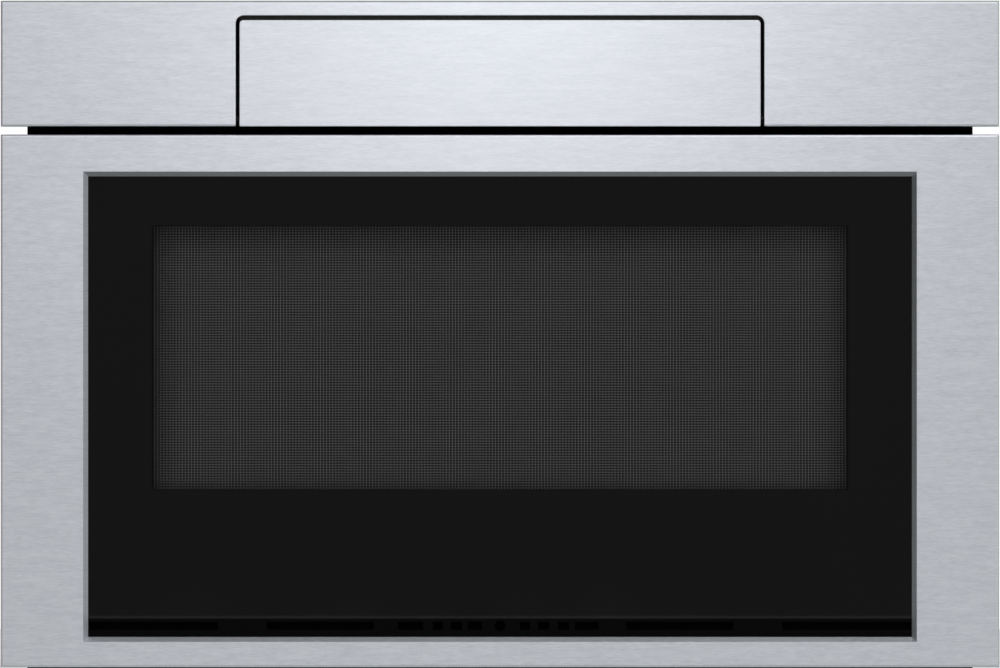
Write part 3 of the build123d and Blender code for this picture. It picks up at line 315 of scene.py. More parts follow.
finishes = {material.name: material for material in (
    # Black enamelled steel: semi-gloss, with the faint orange peel of baked enamel.
    finish("black_enamel", "#0B0B0B", "#101010", (0.4, 0.55), (0.03, 0.03, 0.03), bump=0.05,
           fine=(0.6, 0.6, 0.6), **{"Specular IOR Level": 0.2}),
    # Matt black paint behind the fronts, which kills reflections behind the glass and in the gaps; its
    # near-lightless black also paints the deep shade there.
    finish("black_paint_and_gap_shade", "#010101", "#030303", (0.6, 0.75), (0.05, 0.05, 0.05), bump=0.1,
           fine=(0.8, 0.8, 0.8), **{"Specular IOR Level": 0.02}),
    # Moulded ABS with a fine spark-eroded texture: dark and dull.
    finish("moulded_black_abs", "#020202", "#050505", (0.5, 0.65), (0.1, 0.1, 0.1), bump=0.15,
           fine=(3.0, 3.0, 3.0), bump_mm=0.03, **{"Specular IOR Level": 0.05}),
    # Stainless sheet with a 2B mill finish, grey-satin, as liners have.
    finish("mill_stainless", "#C2C4C6", "#CFD1D2", (0.3, 0.36), (0.02, 0.02, 0.1), metallic=1.0),
    # Glass ceramic plate: pale speckled grey-white, smooth.
    finish("speckled_glass_ceramic", "#D9D8D2", "#EDECE7", (0.12, 0.2), (0.25, 0.25, 0.25), detail=5.0),
    # Drawn aluminium sheet: silvery, with the faint lines of the drawing.
    finish("drawn_aluminium", "#C6C8CA", "#D8DADC", (0.3, 0.42), (0.02, 0.4, 0.02), metallic=1.0, bump=0.04),
    # Pressed mica board: golden grey with flat flakes.
    finish("mica_board", "#A79A7C", "#CBBF9F", (0.35, 0.55), (0.15, 0.15, 0.15), detail=6.0, bump=0.1),
    # Zinc-plated motor housing: mid grey and half bright.
    finish("plated_motor_case", "#9A9C9E", "#B9BBBC", (0.25, 0.4), (0.05, 0.05, 0.2), metallic=1.0,
           bump=0.04),
    # Laminated electrical steel: dark grey, with the stack's fine layers.
    finish("core_laminations", "#55575A", "#7A7C7F", (0.45, 0.6), (0.02, 2.0, 0.02), metallic=1.0, bump=0.3),
    # Enamelled copper winding: orange-brown, one wire a millimetre.
    finish("enamelled_copper", "#7A3A1C", "#B0643A", (0.25, 0.4), (0.02, 0.02, 0.9), metallic=1.0, bump=0.4),
    # Nylon, glass-filled and moulded grey.
    finish("grey_nylon", "#5C5E60", "#6A6C6E", (0.4, 0.55), (0.2, 0.2, 0.2), bump=0.1),
    # Acetal gears: milky white, waxy.
    finish("natural_acetal", "#DAD8CF", "#E9E7DF", (0.28, 0.38), (0.1, 0.1, 0.1), bump=0.03),
    # FR4 board with green solder resist.
    finish("green_fr4", "#0F4A2A", "#1B6338", (0.3, 0.45), (0.15, 0.15, 0.15), bump=0.05),
    # EPDM rubber: near-black and matt.
    finish("black_epdm", "#101010", "#191919", (0.65, 0.8), (0.3, 0.3, 0.3), bump=0.15),
    # Glossy black glass of the touch panel.
    finish("black_float_glass", "#08080A", "#0B0B0D", (0.04, 0.07), (0.02, 0.02, 0.02), IOR=1.5),
    # Baked enamel of the perforated screen, dim behind the glass. Its light grey is painted light: the
    # screen's enamel is dark, and the grey stands in for the light on it.
    finish("screen_enamel_painted_light", "#D8D8D8", "#E6E6E6", (0.4, 0.55), (0.1, 0.1, 0.1), bump=0.05),
    # Smoked polycarbonate, near-black and smooth, dark enough to paint the shade behind the screen's holes.
    finish("smoked_pane_and_shade", "#050505", "#080808", (0.12, 0.2), (0.05, 0.05, 0.05)),
    # Open-cell foam: mid grey, matt and pitted.
    finish("grey_seal_foam", "#707070", "#8C8C8C", (0.85, 0.95), (0.6, 0.6, 0.6), bump=0.3, bump_mm=0.2),
    # Zinc-plated steel, turned and passivated clear: brighter and bluer than the sheet.
    finish("zinc_plated_screws", "#B9BDC2", "#D2D5D8", (0.22, 0.34), (0.3, 0.3, 0.3), metallic=1.0),
    # Pale grey ceramic ink, fired onto the glass.
    finish("fired_grey_ink", "#C9CBCE", "#DCDEE0", (0.5, 0.6), (0.8, 0.8, 0.8)),
    # Lit segments of the clock: pale blue, with a weak glow.
    finish("clock_segments", "#BFE6F2", "#D6F3FA", (0.5, 0.6), (0.8, 0.8, 0.8),
           **{"Emission Color": paint("#BFE9F5"), "Emission Strength": 0.5}),
    galvanised_sheet(),
    window_glass(),
    brushed_stainless("brushed_stainless_304", fold_shade_mask),
    brushed_stainless("lipped_stainless_304", lip_shade_mask),
)}
worn_by = {
    "lipped_stainless_304": ["door_panel"],
    "brushed_stainless_304": ["top_fascia", "flap_skin"],
    "printed_soda_lime_glass": ["door_glass"],
    "black_float_glass": ["touch_glass"],
    "black_enamel": ["choke_cover", "flap_brackets", "flap_pins"],
    "black_paint_and_gap_shade": ["front_frame", "fascia_backing", "door_carrier", "choke_frame"],
    "moulded_black_abs": ["vent_grille", "flap_body", "cavity_lamp"],
    "galvanised_sheet": [
        "base_plate", "case_wrap", "back_plate", "mounting_brackets", "component_shelf", "slide_supports",
        "rail_brackets", "rack_beam", "slide_outers", "slide_middle_left", "slide_middle_right",
        "slide_inners", "latch_strikers", "rack", "door_back",
    ],
    "mill_stainless": ["cavity_shell", "container_walls", "container_pan", "case_screws"],
    "speckled_glass_ceramic": ["ceramic_floor"],
    "drawn_aluminium": ["waveguide", "stirrer_blade", "magnetron", "capacitor"],
    "mica_board": ["waveguide_cover"],
    "plated_motor_case": ["stirrer_motor", "fan_motor", "drawer_motor", "flap_motor"],
    "core_laminations": ["transformer_core"],
    "enamelled_copper": ["transformer_coils"],
    "grey_nylon": ["fan_shroud", "fan_blade", "switch_blocks"],
    "natural_acetal": [
        "drive_pinion", "flap_pinion", "flap_sector", "plunger_primary", "plunger_secondary",
        "plunger_monitor",
    ],
    "green_fr4": ["power_board", "control_board"],
    "black_epdm": ["cord_bush", "door_bumpers"],
}
for finish_name, names in worn_by.items():
    for name in names:
        NODES[name].data.materials.clear()
        NODES[name].data.materials.append(finishes[finish_name])


# ---- What new pieces are made with -----------------------------------------------------------------
def put_in_scene(name, data):
    item = bpy.data.objects.new(name, data)
    bpy.context.scene.collection.objects.link(item)
    return item


def finished_mesh(name, bm, material):
    mesh = bpy.data.meshes.new(name)
    bm.to_mesh(mesh)
    bm.free()
    mesh.materials.append(material)
    return mesh


def piece(name, bm, finish_name, body, replaces=()):
    """Makes an object of a finished bmesh and puts it on its body."""
    item = put_in_scene(name, finished_mesh(name, bm, finishes[finish_name]))
    if replaces:
        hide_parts(*replaces)
    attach(item, body)


def only(kind, geometry):
    """The vertices, edges or faces in what an operator gave back."""
    return [item for item in geometry if isinstance(item, kind)]


def join(bm, other):
    """Adds another bmesh to the first."""
    mesh = bpy.data.meshes.new("joined")
    other.to_mesh(mesh)
    other.free()
    bm.from_mesh(mesh)
    bpy.data.meshes.remove(mesh)


def axes_turn(x_axis, y_axis, z_axis):
    """The turn that lays a shape's own axes along three directions."""
    return Matrix((Vector(x_axis), Vector(y_axis), Vector(z_axis))).transposed().to_4x4()


def turned_to(outward):
    """The turn that points the Z axis along a direction."""
    return Vector(outward).to_track_quat("Z", "Y").to_matrix().to_4x4()


def move(bm, place, turn, scale=MM):
    """Turns a whole bmesh and puts its origin at a place, in mm."""
    matrix = Matrix.Translation(Vector(place) * MM) @ turn @ Matrix.Scale(scale, 4)
    bmesh.ops.transform(bm, matrix=matrix, verts=bm.verts[:])


def add_block(bm, low, high):
    """A block between two corners, in mm. Gives its vertices."""
    size = [(b - a) * MM for a, b in zip(low, high)]
    middle = [(a + b) / 2 * MM for a, b in zip(low, high)]
    place = Matrix.Translation(middle) @ Matrix.Diagonal((*size, 1.0))
    return bmesh.ops.create_cube(bm, size=1.0, matrix=place)["verts"]


def add_wire(bm, start, end, radius):
    """A straight round wire between two points, in mm."""
    first, last = Vector(start), Vector(end)
    place = Matrix.Translation((first + last) / 2 * MM) @ turned_to(last - first)
    bmesh.ops.create_cone(bm, cap_ends=True, segments=8, radius1=radius * MM, radius2=radius * MM,
                          depth=(last - first).length * MM, matrix=place)


def repeat(bm, count, step):
    """Copies everything in the bmesh in a row, doubling it until there are so many, a step in mm apart."""
    unit = len(bm.faces)
    made = 1
    while made < count:
        more = min(made, count - made)
        bm.faces.ensure_lookup_table()
        copied = bmesh.ops.duplicate(bm, geom=bm.faces[:more * unit])["geom"]
        bmesh.ops.translate(bm, verts=only(bmesh.types.BMVert, copied), vec=Vector(step) * MM * made)
        made += more


# ---- The perforated screen -------------------------------------------------------------------------
HOLES_ACROSS = 227
HOLES_UP = 102
PITCH_X = 2 * FIELD_X / HOLES_ACROSS
PITCH_Z = (FIELD_Z[1] - FIELD_Z[0]) / HOLES_UP
UPRIGHT = 0.70  # metal left between two columns of holes
LEVEL = 0.66  # and between two rows
WEB = 1.7  # plate where four round holes meet, from corner to corner
WEB_SINK = 0.01  # how far the plates stay behind both faces of the screen


def strip_row(low, high, count, step):
    """A row of equal strips, of which two corners give the first."""
    bm = bmesh.new()
    add_block(bm, low, high)
    repeat(bm, count, step)
    return bm


def screen_strips():
    """Metal between the rows and columns of holes, with the plain margin round them."""
    (left, front, bottom), (right, back, top) = SCREEN
    low, high = FIELD_Z
    x = PITCH_X - FIELD_X
    z = low + PITCH_Z
    strips = strip_row((x - UPRIGHT / 2, front, low), (x + UPRIGHT / 2, back, high),
                       HOLES_ACROSS - 1, (PITCH_X, 0, 0))
    levels = strip_row((-FIELD_X, front, z - LEVEL / 2), (FIELD_X, back, z + LEVEL / 2),
                       HOLES_UP - 1, (0, 0, PITCH_Z))
    add_block(strips, (left, front, bottom), (-FIELD_X, back, top))
    add_block(strips, (FIELD_X, front, bottom), (right, back, top))
    add_block(strips, (-FIELD_X, front, bottom), (FIELD_X, back, low))
    add_block(strips, (-FIELD_X, front, high), (FIELD_X, back, top))
    join(strips, levels)
    return strips


def screen_webs(first, last):
    """Small diamond plates where four holes meet, which round the holes' corners."""
    front, back = SCREEN[0].y, SCREEN[1].y
    bm = bmesh.new()
    side = WEB * MM / math.sqrt(2)
    depth = (back - front - 2 * WEB_SINK) * MM
    place = Vector((first * PITCH_X - FIELD_X, (front + back) / 2, FIELD_Z[0] + PITCH_Z)) * MM
    diamond = Matrix.Rotation(math.radians(45), 4, "Y") @ Matrix.Diagonal((side, depth, side, 1.0))
    bmesh.ops.create_cube(bm, size=1.0, matrix=Matrix.Translation(place) @ diamond)
    repeat(bm, last - first, (PITCH_X, 0, 0))
    repeat(bm, HOLES_UP - 1, (0, 0, PITCH_Z))
    return bm


piece("screen_strips", screen_strips(), "screen_enamel_painted_light", "drawer", ["door_screen"])
middle = (HOLES_ACROSS + 1) // 2
for side, first, last in (("left", 1, middle), ("right", middle, HOLES_ACROSS)):
    piece("screen_webs_" + side, screen_webs(first, last), "screen_enamel_painted_light", "drawer",
          ["door_screen"])


# ---- Behind the drawer front and the flap ----------------------------------------------------------
PANE_X = 204.9  # half the width of the pane in the choke's window
PANE_Z = (160.1, 284.9)
PANE_GAP = 0.1  # between the screen and the pane
PANE = 1.0


def inner_pane():
    """The smoked pane in the choke's window, which hides the container behind the screen and paints the
    shade behind its holes.
    """
    bm = bmesh.new()
    front = SCREEN[1].y + PANE_GAP
    add_block(bm, (-PANE_X, front, PANE_Z[0]), (PANE_X, front + PANE, PANE_Z[1]))
    return bm


DUCT_SHEET = 1.2
DUCT_DEPTH = 9.0  # from the back of the grille
DUCT_GAP = 0.05
DUCT_RISE = 3.0  # above the grille


def vent_duct():
    """The black channel behind the grille that leads its air down and back, a dark sheet that paints the
    shade behind the slots.
    """
    bm = bmesh.new()
    low, high = corners("vent_grille")
    front = high.y + DUCT_GAP
    back = high.y + DUCT_DEPTH
    inner = back - DUCT_SHEET
    top = high.z + DUCT_RISE
    add_block(bm, (low.x, inner, low.z), (high.x, back, top))
    add_block(bm, (low.x, front, top - DUCT_SHEET), (high.x, inner, top))
    add_block(bm, (low.x, front, low.z), (high.x, inner, low.z + DUCT_SHEET))
    return bm


SEAL = 1.4  # thickness of the foam
SEAL_BELOW = 0.6  # how far it goes down behind the flap
SEAL_ABOVE = 7.0  # and up behind the fascia


def flap_seal():
    """The grey foam strip on the fascia's backing that the top of the flap closes against."""
    bm = bmesh.new()
    front = corners("fascia_backing")[0].y
    low, high = corners("flap_skin")
    add_block(bm, (low.x, front - SEAL, high.z - SEAL_BELOW), (high.x, front, high.z + SEAL_ABOVE))
    return bm


piece("inner_pane", inner_pane(), "smoked_pane_and_shade", "drawer")
piece("vent_duct", vent_duct(), "moulded_black_abs", "drawer")
piece("flap_seal", flap_seal(), "grey_seal_foam", "chassis")


# ---- Screws of the case ----------------------------------------------------------------------------
RECESS_ARM = 0.55  # reach of the cross recess, as a share of the head's radius
RECESS_DEPTH = 0.6  # as a share of the head's height
HEAD_RINGS = ((0.86, -0.12), (1.0, -0.45), (1.0, -1.0))  # shares of radius and height, from the top down
SCREW_INSET = 12.0  # from the edges of the back plate
FLAT_HEAD = 1.6  # height of the screws on the wrap
SHORT_SHANK = 0.8
SIDE_SCREWS = ((-240, 18), (-60, 18), (120, 18), (272, 18), (-256, 380), (-256, 470))  # Y and Z
TOP_SCREWS_X = (-300, -100, 100, 300)
TOP_SCREWS_Y = -250


def add_screw(bm, place, outward, radius=4.0, height=2.0, shank=1.9, depth=1.1):
    """A pan-head screw with a cross recess, all in mm: the head stands on a place, the shank goes in."""
    head = bmesh.new()
    arm = RECESS_ARM * radius
    bmesh.ops.create_grid(head, x_segments=3, y_segments=3, size=arm)
    outside = [f for f in head.faces if min(abs(v) for v in f.calc_center_median().xy) > arm / 3]
    bmesh.ops.delete(head, geom=outside, context="FACES")
    cross = head.faces[:]
    rim = [edge for edge in head.edges if edge.is_boundary]
    for wide, level in HEAD_RINGS:
        grown = bmesh.ops.extrude_edge_only(head, edges=rim)["geom"]
        for vert in only(bmesh.types.BMVert, grown):
            outwards = vert.co.xy.normalized() * radius * wide
            vert.co = (outwards.x, outwards.y, height * level)
        rim = only(bmesh.types.BMEdge, grown)
    sunk = bmesh.ops.extrude_face_region(head, geom=cross)["geom"]
    bmesh.ops.delete(head, geom=cross, context="FACES_ONLY")
    bmesh.ops.translate(head, verts=only(bmesh.types.BMVert, sunk), vec=(0, 0, -RECESS_DEPTH * height))
    bmesh.ops.holes_fill(head, edges=[edge for edge in head.edges if edge.is_boundary])
    bmesh.ops.translate(head, verts=head.verts[:], vec=(0, 0, height))
    pin = Matrix.Translation((0, 0, -depth / 2))
    bmesh.ops.create_cone(head, cap_ends=True, segments=12, radius1=shank, radius2=shank, depth=depth,
                          matrix=pin)
    bmesh.ops.recalc_face_normals(head, faces=head.faces[:])
    move(head, place, turned_to(outward))
    join(bm, head)


def back_screws():
    """The screws round the back plate, each where the CAD has one."""
    bm = bmesh.new()
    outer = CASE_X - SCREW_INSET
    inner = CASE_X / 3
    for x in (-outer, -inner, inner, outer):
        for z in (SCREW_INSET, CASE_TOP - SCREW_INSET):
            add_screw(bm, (x, CASE_BACK, z), BACK)
    for side in SIDES:
        add_screw(bm, (side * outer, CASE_BACK, CASE_TOP / 2), BACK)
    return bm


def wrap_screws():
    """Flatter screws that hold the case wrap to the frame and the base."""
    bm = bmesh.new()
    for side in SIDES:
        for y, z in SIDE_SCREWS:
            add_screw(bm, (side * CASE_X, y, z), (side, 0, 0), height=FLAT_HEAD, depth=SHORT_SHANK)
    for x in TOP_SCREWS_X:
        add_screw(bm, (x, TOP_SCREWS_Y, CASE_TOP), UP, height=FLAT_HEAD, depth=SHORT_SHANK)
    return bm


piece("back_screws", back_screws(), "zinc_plated_screws", "chassis", ["case_screws"])
piece("wrap_screws", wrap_screws(), "zinc_plated_screws", "chassis")


# ---- Pressings of the case -------------------------------------------------------------------------
BEAD = (430, 16, 1.2)  # length, width and height of a stiffening bead
BEAD_ENDS = 0.49  # radius of its round ends, as a share of its width
BEAD_SHOULDER = 0.8
TOP_BEADS_X = (-210, 0, 210)
TOP_BEADS_Y = 15
SIDE_BEADS_Z = (240, 420)
SIDE_BEADS_Y = 10
LOUVRE_SLOT = 4.0
LOUVRE_REACH = 2.6  # how far the hood stands out at its open lower edge
LOUVRE_RISE = 6.0  # height of the hood
LOUVRE_SHEET = 0.6
LOUVRE_PITCH = 11
CHEEK_STEP = 0.05  # how far the cheeks stay behind the hood's face
SIDE_LOUVRES = (6, 152, 61.0)  # rows, height of the lowest, and their length
SIDE_LOUVRES_INSET = 61.2  # from the back of the case to their middle
BACK_LOUVRES = (9, 322, 121.0)
BACK_LOUVRES_INSET = 129.6  # from the sides of the case to the outer columns' middles


def add_bead(bm, place, outward):
    """A long pressed stiffening bead with round ends, front to back, proud of the sheet."""
    length, width, height = BEAD
    bead = bmesh.new()
    block = Matrix.Translation((0, 0, height / 2)) @ Matrix.Diagonal((length, width, height, 1))
    bmesh.ops.create_cube(bead, size=1.0, matrix=block)
    uprights = [e for e in bead.edges if abs(e.verts[0].co.z - e.verts[1].co.z) > height / 2]
    bmesh.ops.bevel(bead, geom=uprights, offset=width * BEAD_ENDS, segments=6, profile=0.5, affect="EDGES",
                    material=-1)
    high = [e for e in bead.edges if all(v.co.z > height / 2 for v in e.verts)]
    shoulder = [e for e in high if e.calc_face_angle(0) > math.radians(45)]
    bmesh.ops.bevel(bead, geom=shoulder, offset=BEAD_SHOULDER, segments=3, profile=0.5, affect="EDGES",
                    material=-1)
    move(bead, place, axes_turn(BACK, Vector(outward).cross(Vector(BACK)), outward))
    join(bm, bead)


def case_beads():
    """Three beads along the top of the case, and two along each side."""
    bm = bmesh.new()
    for x in TOP_BEADS_X:
        add_bead(bm, (x, TOP_BEADS_Y, CASE_TOP), UP)
    for side in SIDES:
        for z in SIDE_BEADS_Z:
            add_bead(bm, (side * CASE_X, SIDE_BEADS_Y, z), (side, 0, 0))
    return bm


def add_louvre(bm, place, along, length):
    """A slanted hood over a slot, with a cheek at each end, open below."""
    hood = bmesh.new()
    low, high = -LOUVRE_SLOT / 2, LOUVRE_RISE - LOUVRE_SLOT / 2
    lean = (0, 0, (LOUVRE_SHEET - LOUVRE_REACH) * MM)
    ends = (-length / 2, length / 2)
    plate = add_block(hood, (ends[0], low, LOUVRE_REACH - LOUVRE_SHEET), (ends[1], high, LOUVRE_REACH))
    bmesh.ops.translate(hood, verts=[v for v in plate if v.co.y > 0], vec=lean)
    half = LOUVRE_SHEET / 2
    for end in ends:
        cheek = add_block(hood, (end - half, low, 0), (end + half, high, LOUVRE_REACH - CHEEK_STEP))
        upper = [v for v in cheek if v.co.y > 0 and v.co.z > half * MM]
        bmesh.ops.translate(hood, verts=upper, vec=lean)
    move(hood, place, axes_turn(along, UP, Vector(along).cross(Vector(UP))), scale=1.0)
    join(bm, hood)


def side_louvres():
    """One short column of louvres on each side of the case, near the back."""
    bm = bmesh.new()
    rows, lowest, length = SIDE_LOUVRES
    for side in SIDES:
        for row in range(rows):
            place = (side * CASE_X, CASE_BACK - SIDE_LOUVRES_INSET, lowest + LOUVRE_PITCH * row)
            add_louvre(bm, place, (0, side, 0), length)
    return bm


def back_louvres():
    """Three columns of louvres across the back plate."""
    bm = bmesh.new()
    rows, lowest, length = BACK_LOUVRES
    outer = CASE_X - BACK_LOUVRES_INSET
    for x in (-outer, 0, outer):
        for row in range(rows):
            add_louvre(bm, (x, CASE_BACK, lowest + LOUVRE_PITCH * row), LEFT, length)
    return bm


piece("case_beads", case_beads(), "galvanised_sheet", "chassis")
piece("side_louvres", side_louvres(), "galvanised_sheet", "chassis")
piece("back_louvres", back_louvres(), "galvanised_sheet", "chassis")


# ---- The fan guard ---------------------------------------------------------------------------------
FAN_Z = 112.0
GUARD_WIRE = 0.9  # radius
GUARD_STEP = 1.5  # from the spokes' middles to the rings'
GUARD_RINGS = (18.0, 25.0, 32.0, 39.0, 46.0)  # radii
SPOKE = (14, 52)  # from the axis
GUARD_SCREW = 54  # from the axis


def add_ring(bm, centre, radius):
    """A wire ring of the guard, swept round the fan's axis."""
    spot = Vector(centre) * MM + Vector((radius * MM, 0, 0))
    ring = bmesh.new()
    bmesh.ops.create_circle(ring, cap_ends=False, segments=8, radius=GUARD_WIRE * MM,
                            matrix=Matrix.Translation(spot))
    bmesh.ops.spin(ring, geom=ring.edges[:], cent=Vector(centre) * MM, axis=BACK, angle=2 * math.pi,
                   steps=48, use_merge=True, use_normal_flip=False)
    bmesh.ops.remove_doubles(ring, verts=ring.verts[:], dist=1e-6)
    bmesh.ops.recalc_face_normals(ring, faces=ring.faces[:])
    join(bm, ring)


def fan_guard():
    """Welded wire: rings over four spokes, each held to the back plate by a small screw."""
    bm = bmesh.new()
    low, high = corners("fan_shroud")
    x = (low.x + high.x) / 2
    y = CASE_BACK + GUARD_WIRE
    for radius in GUARD_RINGS:
        add_ring(bm, (x, y + GUARD_STEP, FAN_Z), radius)
    for degrees in (45, 135, 225, 315):
        across, up = math.cos(math.radians(degrees)), math.sin(math.radians(degrees))
        start, end = ((x + reach * across, y, FAN_Z + reach * up) for reach in SPOKE)
        add_wire(bm, start, end, GUARD_WIRE)
        foot = (x + GUARD_SCREW * across, CASE_BACK, FAN_Z + GUARD_SCREW * up)
        add_screw(bm, foot, BACK, radius=3.2, height=1.8, shank=1.4, depth=1.0)
    return bm


piece("fan_guard", fan_guard(), "zinc_plated_screws", "chassis")


# ---- The container ---------------------------------------------------------------------------------
RIM_WIRE = 1.4  # radius
RIM_INSET = 0.5  # from the outside of the walls to the wire's middle
RIM_FRONT = 1.6  # from the front of the walls to the wire's end


def container_rim():
    """The wired edge that is rolled along the top of the container's walls."""
    bm = bmesh.new()
    low, high = corners("container_walls")
    x = high.x - RIM_INSET
    front, back = low.y + RIM_FRONT, high.y - RIM_INSET
    for side in SIDES:
        corner = Vector((side * x, back, high.z))
        add_wire(bm, (side * x, front, high.z), corner, RIM_WIRE)
        ball = Matrix.Translation(corner * MM)
        bmesh.ops.create_icosphere(bm, subdivisions=2, radius=RIM_WIRE * MM, matrix=ball)
    add_wire(bm, (-x, back, high.z), (x, back, high.z), RIM_WIRE)
    return bm


piece("container_rim", container_rim(), "mill_stainless", "drawer")


# ---- The print on the touch glass ------------------------------------------------------------------
INK = 0.04  # thickness
INK_GAP = 0.01  # between the glass and the ink
FONT_CAPITALS = 0.7  # height of the font's capitals, as a share of its size
LINE = 0.6  # width of the rings round the marks
PAD = 7.5  # radius of the rings round digits and icons
DIGIT = 6.0  # height
FIRST_DIGIT = (-160, 9)  # from the middle of the glass, to the right and up
DIGIT_STEP = (20, -19)
ICONS = (  # place to the right, sides of the polygon, and its turn
    (90, 3, -math.pi / 2),
    (114, 4, math.pi / 4),
    (138, 3, 0.0),
    (162, 3, math.pi),
)
ICONS_UP = 9
ICON = 3.6  # radius
SWITCH_WORDS = (("ON", 102), ("OFF", 150))
SWITCH_WORDS_UP = -10
SWITCH_LETTERS = 4.2
SWITCH_RING = 9.0
CLOCK_DIGITS = 15.0


def touch_face():
    """Middle of the touch glass's outward face, and the directions up the panel and out of it."""
    glass = NODES["touch_glass"].data
    largest = max((f for f in glass.polygons if f.normal.z > 0.5), key=lambda f: f.area)
    out = largest.normal.copy()
    up = Vector((0, out.z, -out.y))
    level = max(v.co.dot(out) for v in glass.vertices)
    heights = [v.co.dot(up) for v in glass.vertices if v.co.dot(out) > level - 0.1 * MM]
    return up * (min(heights) + max(heights)) / 2 + out * level, up, out


def add_print(bm, mark, right, height):
    """Puts a flat bmesh, drawn in mm in X and Y, on the touch glass as ink."""
    middle, up, out = touch_face()
    raised = bmesh.ops.extrude_face_region(mark, geom=mark.faces[:])["geom"]
    bmesh.ops.translate(mark, verts=only(bmesh.types.BMVert, raised), vec=(0, 0, INK))
    bmesh.ops.recalc_face_normals(mark, faces=mark.faces[:])
    place = middle / MM + Vector((right, 0, 0)) + up * height + out * INK_GAP
    move(mark, place, axes_turn(RIGHT, up, out))
    join(bm, mark)


def letters(words, height):
    """Characters as a flat bmesh round the origin, their capitals so many mm high."""
    curve = bpy.data.curves.new("letters", "FONT")
    curve.body = words
    curve.size = height / FONT_CAPITALS
    curve.align_x = "CENTER"
    curve.align_y = "CENTER"
    item = bpy.data.objects.new("letters", curve)
    mesh = bpy.data.meshes.new_from_object(item)
    mark = bmesh.new()
    mark.from_mesh(mesh)
    bmesh.ops.remove_doubles(mark, verts=mark.verts[:], dist=0.001)
    bpy.data.objects.remove(item)
    bpy.data.curves.remove(curve)
    bpy.data.meshes.remove(mesh)
    return mark


def filled(radius, sides, turned=0.0):
    """A flat polygon, or a disc if it has many sides."""
    mark = bmesh.new()
    place = Matrix.Rotation(turned, 4, "Z")
    bmesh.ops.create_circle(mark, cap_ends=True, segments=sides, radius=radius, matrix=place)
    return mark


def ring(radius):
    mark = filled(radius, 40)
    inset = bmesh.ops.inset_region(mark, faces=mark.faces[:], thickness=LINE, use_even_offset=True)["faces"]
    hole = [f for f in mark.faces if f not in inset]
    bmesh.ops.delete(mark, geom=hole, context="FACES")
    return mark


def touch_print():
    """Ten digit pads on the left, and four icons and an on and an off pad on the right."""
    bm = bmesh.new()
    for n, digit in enumerate("1234567890"):
        right = FIRST_DIGIT[0] + DIGIT_STEP[0] * (n % 5)
        up = FIRST_DIGIT[1] + DIGIT_STEP[1] * (n // 5)
        add_print(bm, letters(digit, DIGIT), right, up)
        add_print(bm, ring(PAD), right, up)
    for right, sides, turned in ICONS:
        add_print(bm, filled(ICON, sides, turned), right, ICONS_UP)
        add_print(bm, ring(PAD), right, ICONS_UP)
    for word, right in SWITCH_WORDS:
        add_print(bm, letters(word, SWITCH_LETTERS), right, SWITCH_WORDS_UP)
        add_print(bm, ring(SWITCH_RING), right, SWITCH_WORDS_UP)
    return bm


def clock_digits():
    bm = bmesh.new()
    add_print(bm, letters("12:00", CLOCK_DIGITS), 0, 0)
    return bm


piece("touch_print", touch_print(), "fired_grey_ink", "control_flap")
piece("clock_digits", clock_digits(), "clock_segments", "control_flap")


# ---- The studio, in metres -------------------------------------------------------------------------
# How bright metal sees each side of the studio, and the Y of the directions where a side starts and ends.
CARD_AHEAD = 0.92  # the white card in front of the object
CARD_EDGE = (-0.85, -0.45)
CARD_TURN = -0.12  # the card stands turned to the right by this much
WALL_BEHIND = 0.8
WALL_EDGE = (0.2, 0.8)
OPENING = 0.04  # the dark opening that the camera stands in
OPENING_EDGE = (-0.996, -0.985)
SIDE_WALLS = (0.165, 0.205)  # gain towards the right, and level in the middle
SIDE_WALLS_RISE = -0.01  # gain upwards
FLOOR_IN_METAL = 0.5
MATT_LIGHT = 0.55  # what lights matt surfaces
FLOOR_LIFT = 0.95  # glow of the floor
FLOOR_TO_EYE = 0.5  # share of the glow in what the eye sees of it
FLOOR_SIZE = 3.0  # half its width
FLOOR_DROP = 0.0005  # how far it lies below the object
CAMERA_DISTANCE = 24.0
CAMERA_HEIGHT = 0.2544
FRAME_WIDTH = 0.760  # metres of the front that the picture is wide
SENSOR = 36.0  # mm
FACE_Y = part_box("door_panel")[0].y


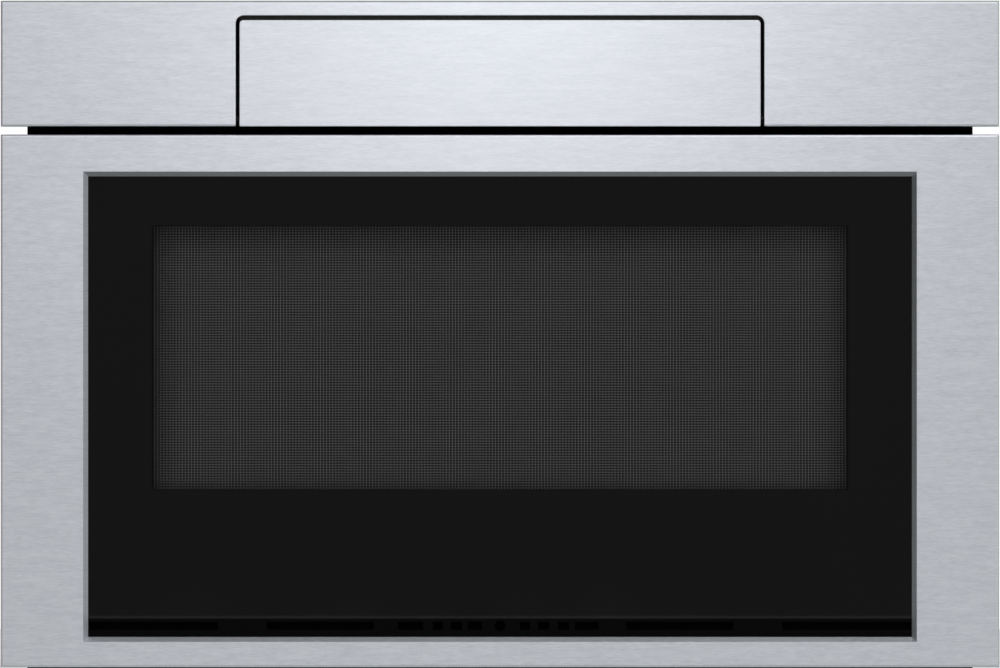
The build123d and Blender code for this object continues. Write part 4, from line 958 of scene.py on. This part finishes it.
def studio_world():
    """White to the eye and through glass. Metal sees a white card ahead, with the dark opening that the
    camera stands in, and greyer sides, the left one darkest. Matt surfaces get an even soft light."""
    world = bpy.data.worlds.new("studio")
    bpy.context.scene.world = world
    world.use_nodes = True
    tree = world.node_tree
    tree.nodes.clear()
    way = add(tree, "SeparateXYZ", {"Vector": add(tree, "TexCoord").outputs["Generated"]}).outputs
    gain, middle = SIDE_WALLS
    side = add(tree, "Math", {0: way["X"], 1: gain, 2: middle}, operation="MULTIPLY_ADD").outputs[0]
    side = add(tree, "Math", {0: way["Z"], 1: SIDE_WALLS_RISE, 2: side}, operation="MULTIPLY_ADD").outputs[0]
    turn = {0: way["X"], 1: CARD_TURN, 2: way["Y"]}
    turned = add(tree, "Math", turn, operation="MULTIPLY_ADD").outputs[0]
    start, end = CARD_EDGE
    ahead = add(tree, "MapRange", {0: turned, 1: start, 2: end, 3: 1.0, 4: 0.0}).outputs[0]
    start, end = WALL_EDGE
    behind = add(tree, "MapRange", {0: way["Y"], 1: start, 2: end}).outputs[0]
    start, end = OPENING_EDGE
    opening = add(tree, "MapRange", {0: way["Y"], 1: start, 2: end, 3: OPENING}).outputs[0]
    seen = add(tree, "Mix", {0: ahead, 2: side, 3: CARD_AHEAD}).outputs[0]
    seen = add(tree, "Mix", {0: behind, 2: seen, 3: WALL_BEHIND}).outputs[0]
    seen = add(tree, "Math", {0: seen, 1: opening}, operation="MULTIPLY").outputs[0]
    path = add(tree, "LightPath").outputs
    rays = {0: path["Is Camera Ray"], 1: path["Is Transmission Ray"]}
    white = add(tree, "Math", rays, operation="MAXIMUM").outputs[0]
    level = add(tree, "Mix", {0: path["Is Glossy Ray"], 2: MATT_LIGHT, 3: seen}).outputs[0]
    level = add(tree, "Mix", {0: white, 2: level, 3: 1.0}).outputs[0]
    shade = add(tree, "Background", {"Color": paint("#FFFFFF"), "Strength": level})
    add(tree, "OutputWorld", {"Surface": shade.outputs["Background"]})


def softbox(name, place, target, size, power):
    """A rectangular lamp at a place, aimed at a target."""
    light = bpy.data.lights.new(name, "AREA")
    light.shape = "RECTANGLE"
    light.size, light.size_y = size
    light.energy = power
    lamp = put_in_scene(name, light)
    aim = (Vector(target) - Vector(place)).to_track_quat("-Z", "Y")
    lamp.matrix_world = Matrix.Translation(place) @ aim.to_matrix().to_4x4()
    lamp.visible_camera = False


def pale_vinyl():
    """Matt pale vinyl, lifted a little for the eye. Metal and glass see it as one even grey."""
    material, tree = new_material("pale_vinyl_floor")
    drift = stretched(tree, (0.002, 0.002, 0.002))
    tone = add(tree, "MapRange", {0: drift, 1: NOISE_LOW, 2: NOISE_HIGH}).outputs[0]
    ends = {0: tone, 6: paint("#E9E9E9"), 7: paint("#EEEEEE")}
    matt = add(tree, "BsdfPrincipled", {
        "Base Color": add(tree, "Mix", ends, data_type="RGBA").outputs[2],
        "Roughness": 0.75,
    })
    path = add(tree, "LightPath").outputs
    level = add(tree, "Mix", {0: path["Is Glossy Ray"], 2: FLOOR_LIFT, 3: FLOOR_IN_METAL}).outputs[0]
    glow = add(tree, "Emission", {"Strength": level})
    rays = {0: path["Is Camera Ray"], 1: FLOOR_TO_EYE, 2: path["Is Glossy Ray"]}
    lift = add(tree, "Math", rays, operation="MULTIPLY_ADD").outputs[0]
    shader = add(tree, "MixShader", {0: lift, 1: matt.outputs["BSDF"], 2: glow.outputs["Emission"]})
    add(tree, "OutputMaterial", {"Surface": shader.outputs["Shader"]})
    return material


def studio_floor():
    """A wide flat floor, which isn't part of the object."""
    bm = bmesh.new()
    place = Matrix.Translation((0, 0, -FLOOR_DROP)) @ Matrix.Scale(2 * FLOOR_SIZE, 4)
    bmesh.ops.create_grid(bm, x_segments=1, y_segments=1, size=0.5, matrix=place)
    put_in_scene("studio_floor", finished_mesh("studio_floor", bm, pale_vinyl()))


def front_camera():
    """A long lens straight in front of the object, framed on its two fronts."""
    camera = put_in_scene("camera", bpy.data.cameras.new("camera"))
    camera.data.sensor_width = SENSOR
    camera.data.lens = SENSOR * CAMERA_DISTANCE / FRAME_WIDTH
    camera.data.clip_end = 200.0
    camera.location = (0.0, FACE_Y - CAMERA_DISTANCE, CAMERA_HEIGHT)
    camera.rotation_euler = (math.radians(90), 0.0, 0.0)
    bpy.context.scene.camera = camera


studio_world()
softbox("front_softbox", place=(0.0, -1.8, 0.56), target=(0.0, FACE_Y, 0.46), size=(0.30, 0.14), power=0.72)
softbox("high_softbox", place=(0.6, -1.6, 2.4), target=(0.0, 0.0, 0.2), size=(1.6, 1.2), power=12)
studio_floor()
front_camera()
bpy.context.scene.view_settings.view_transform = "Standard"
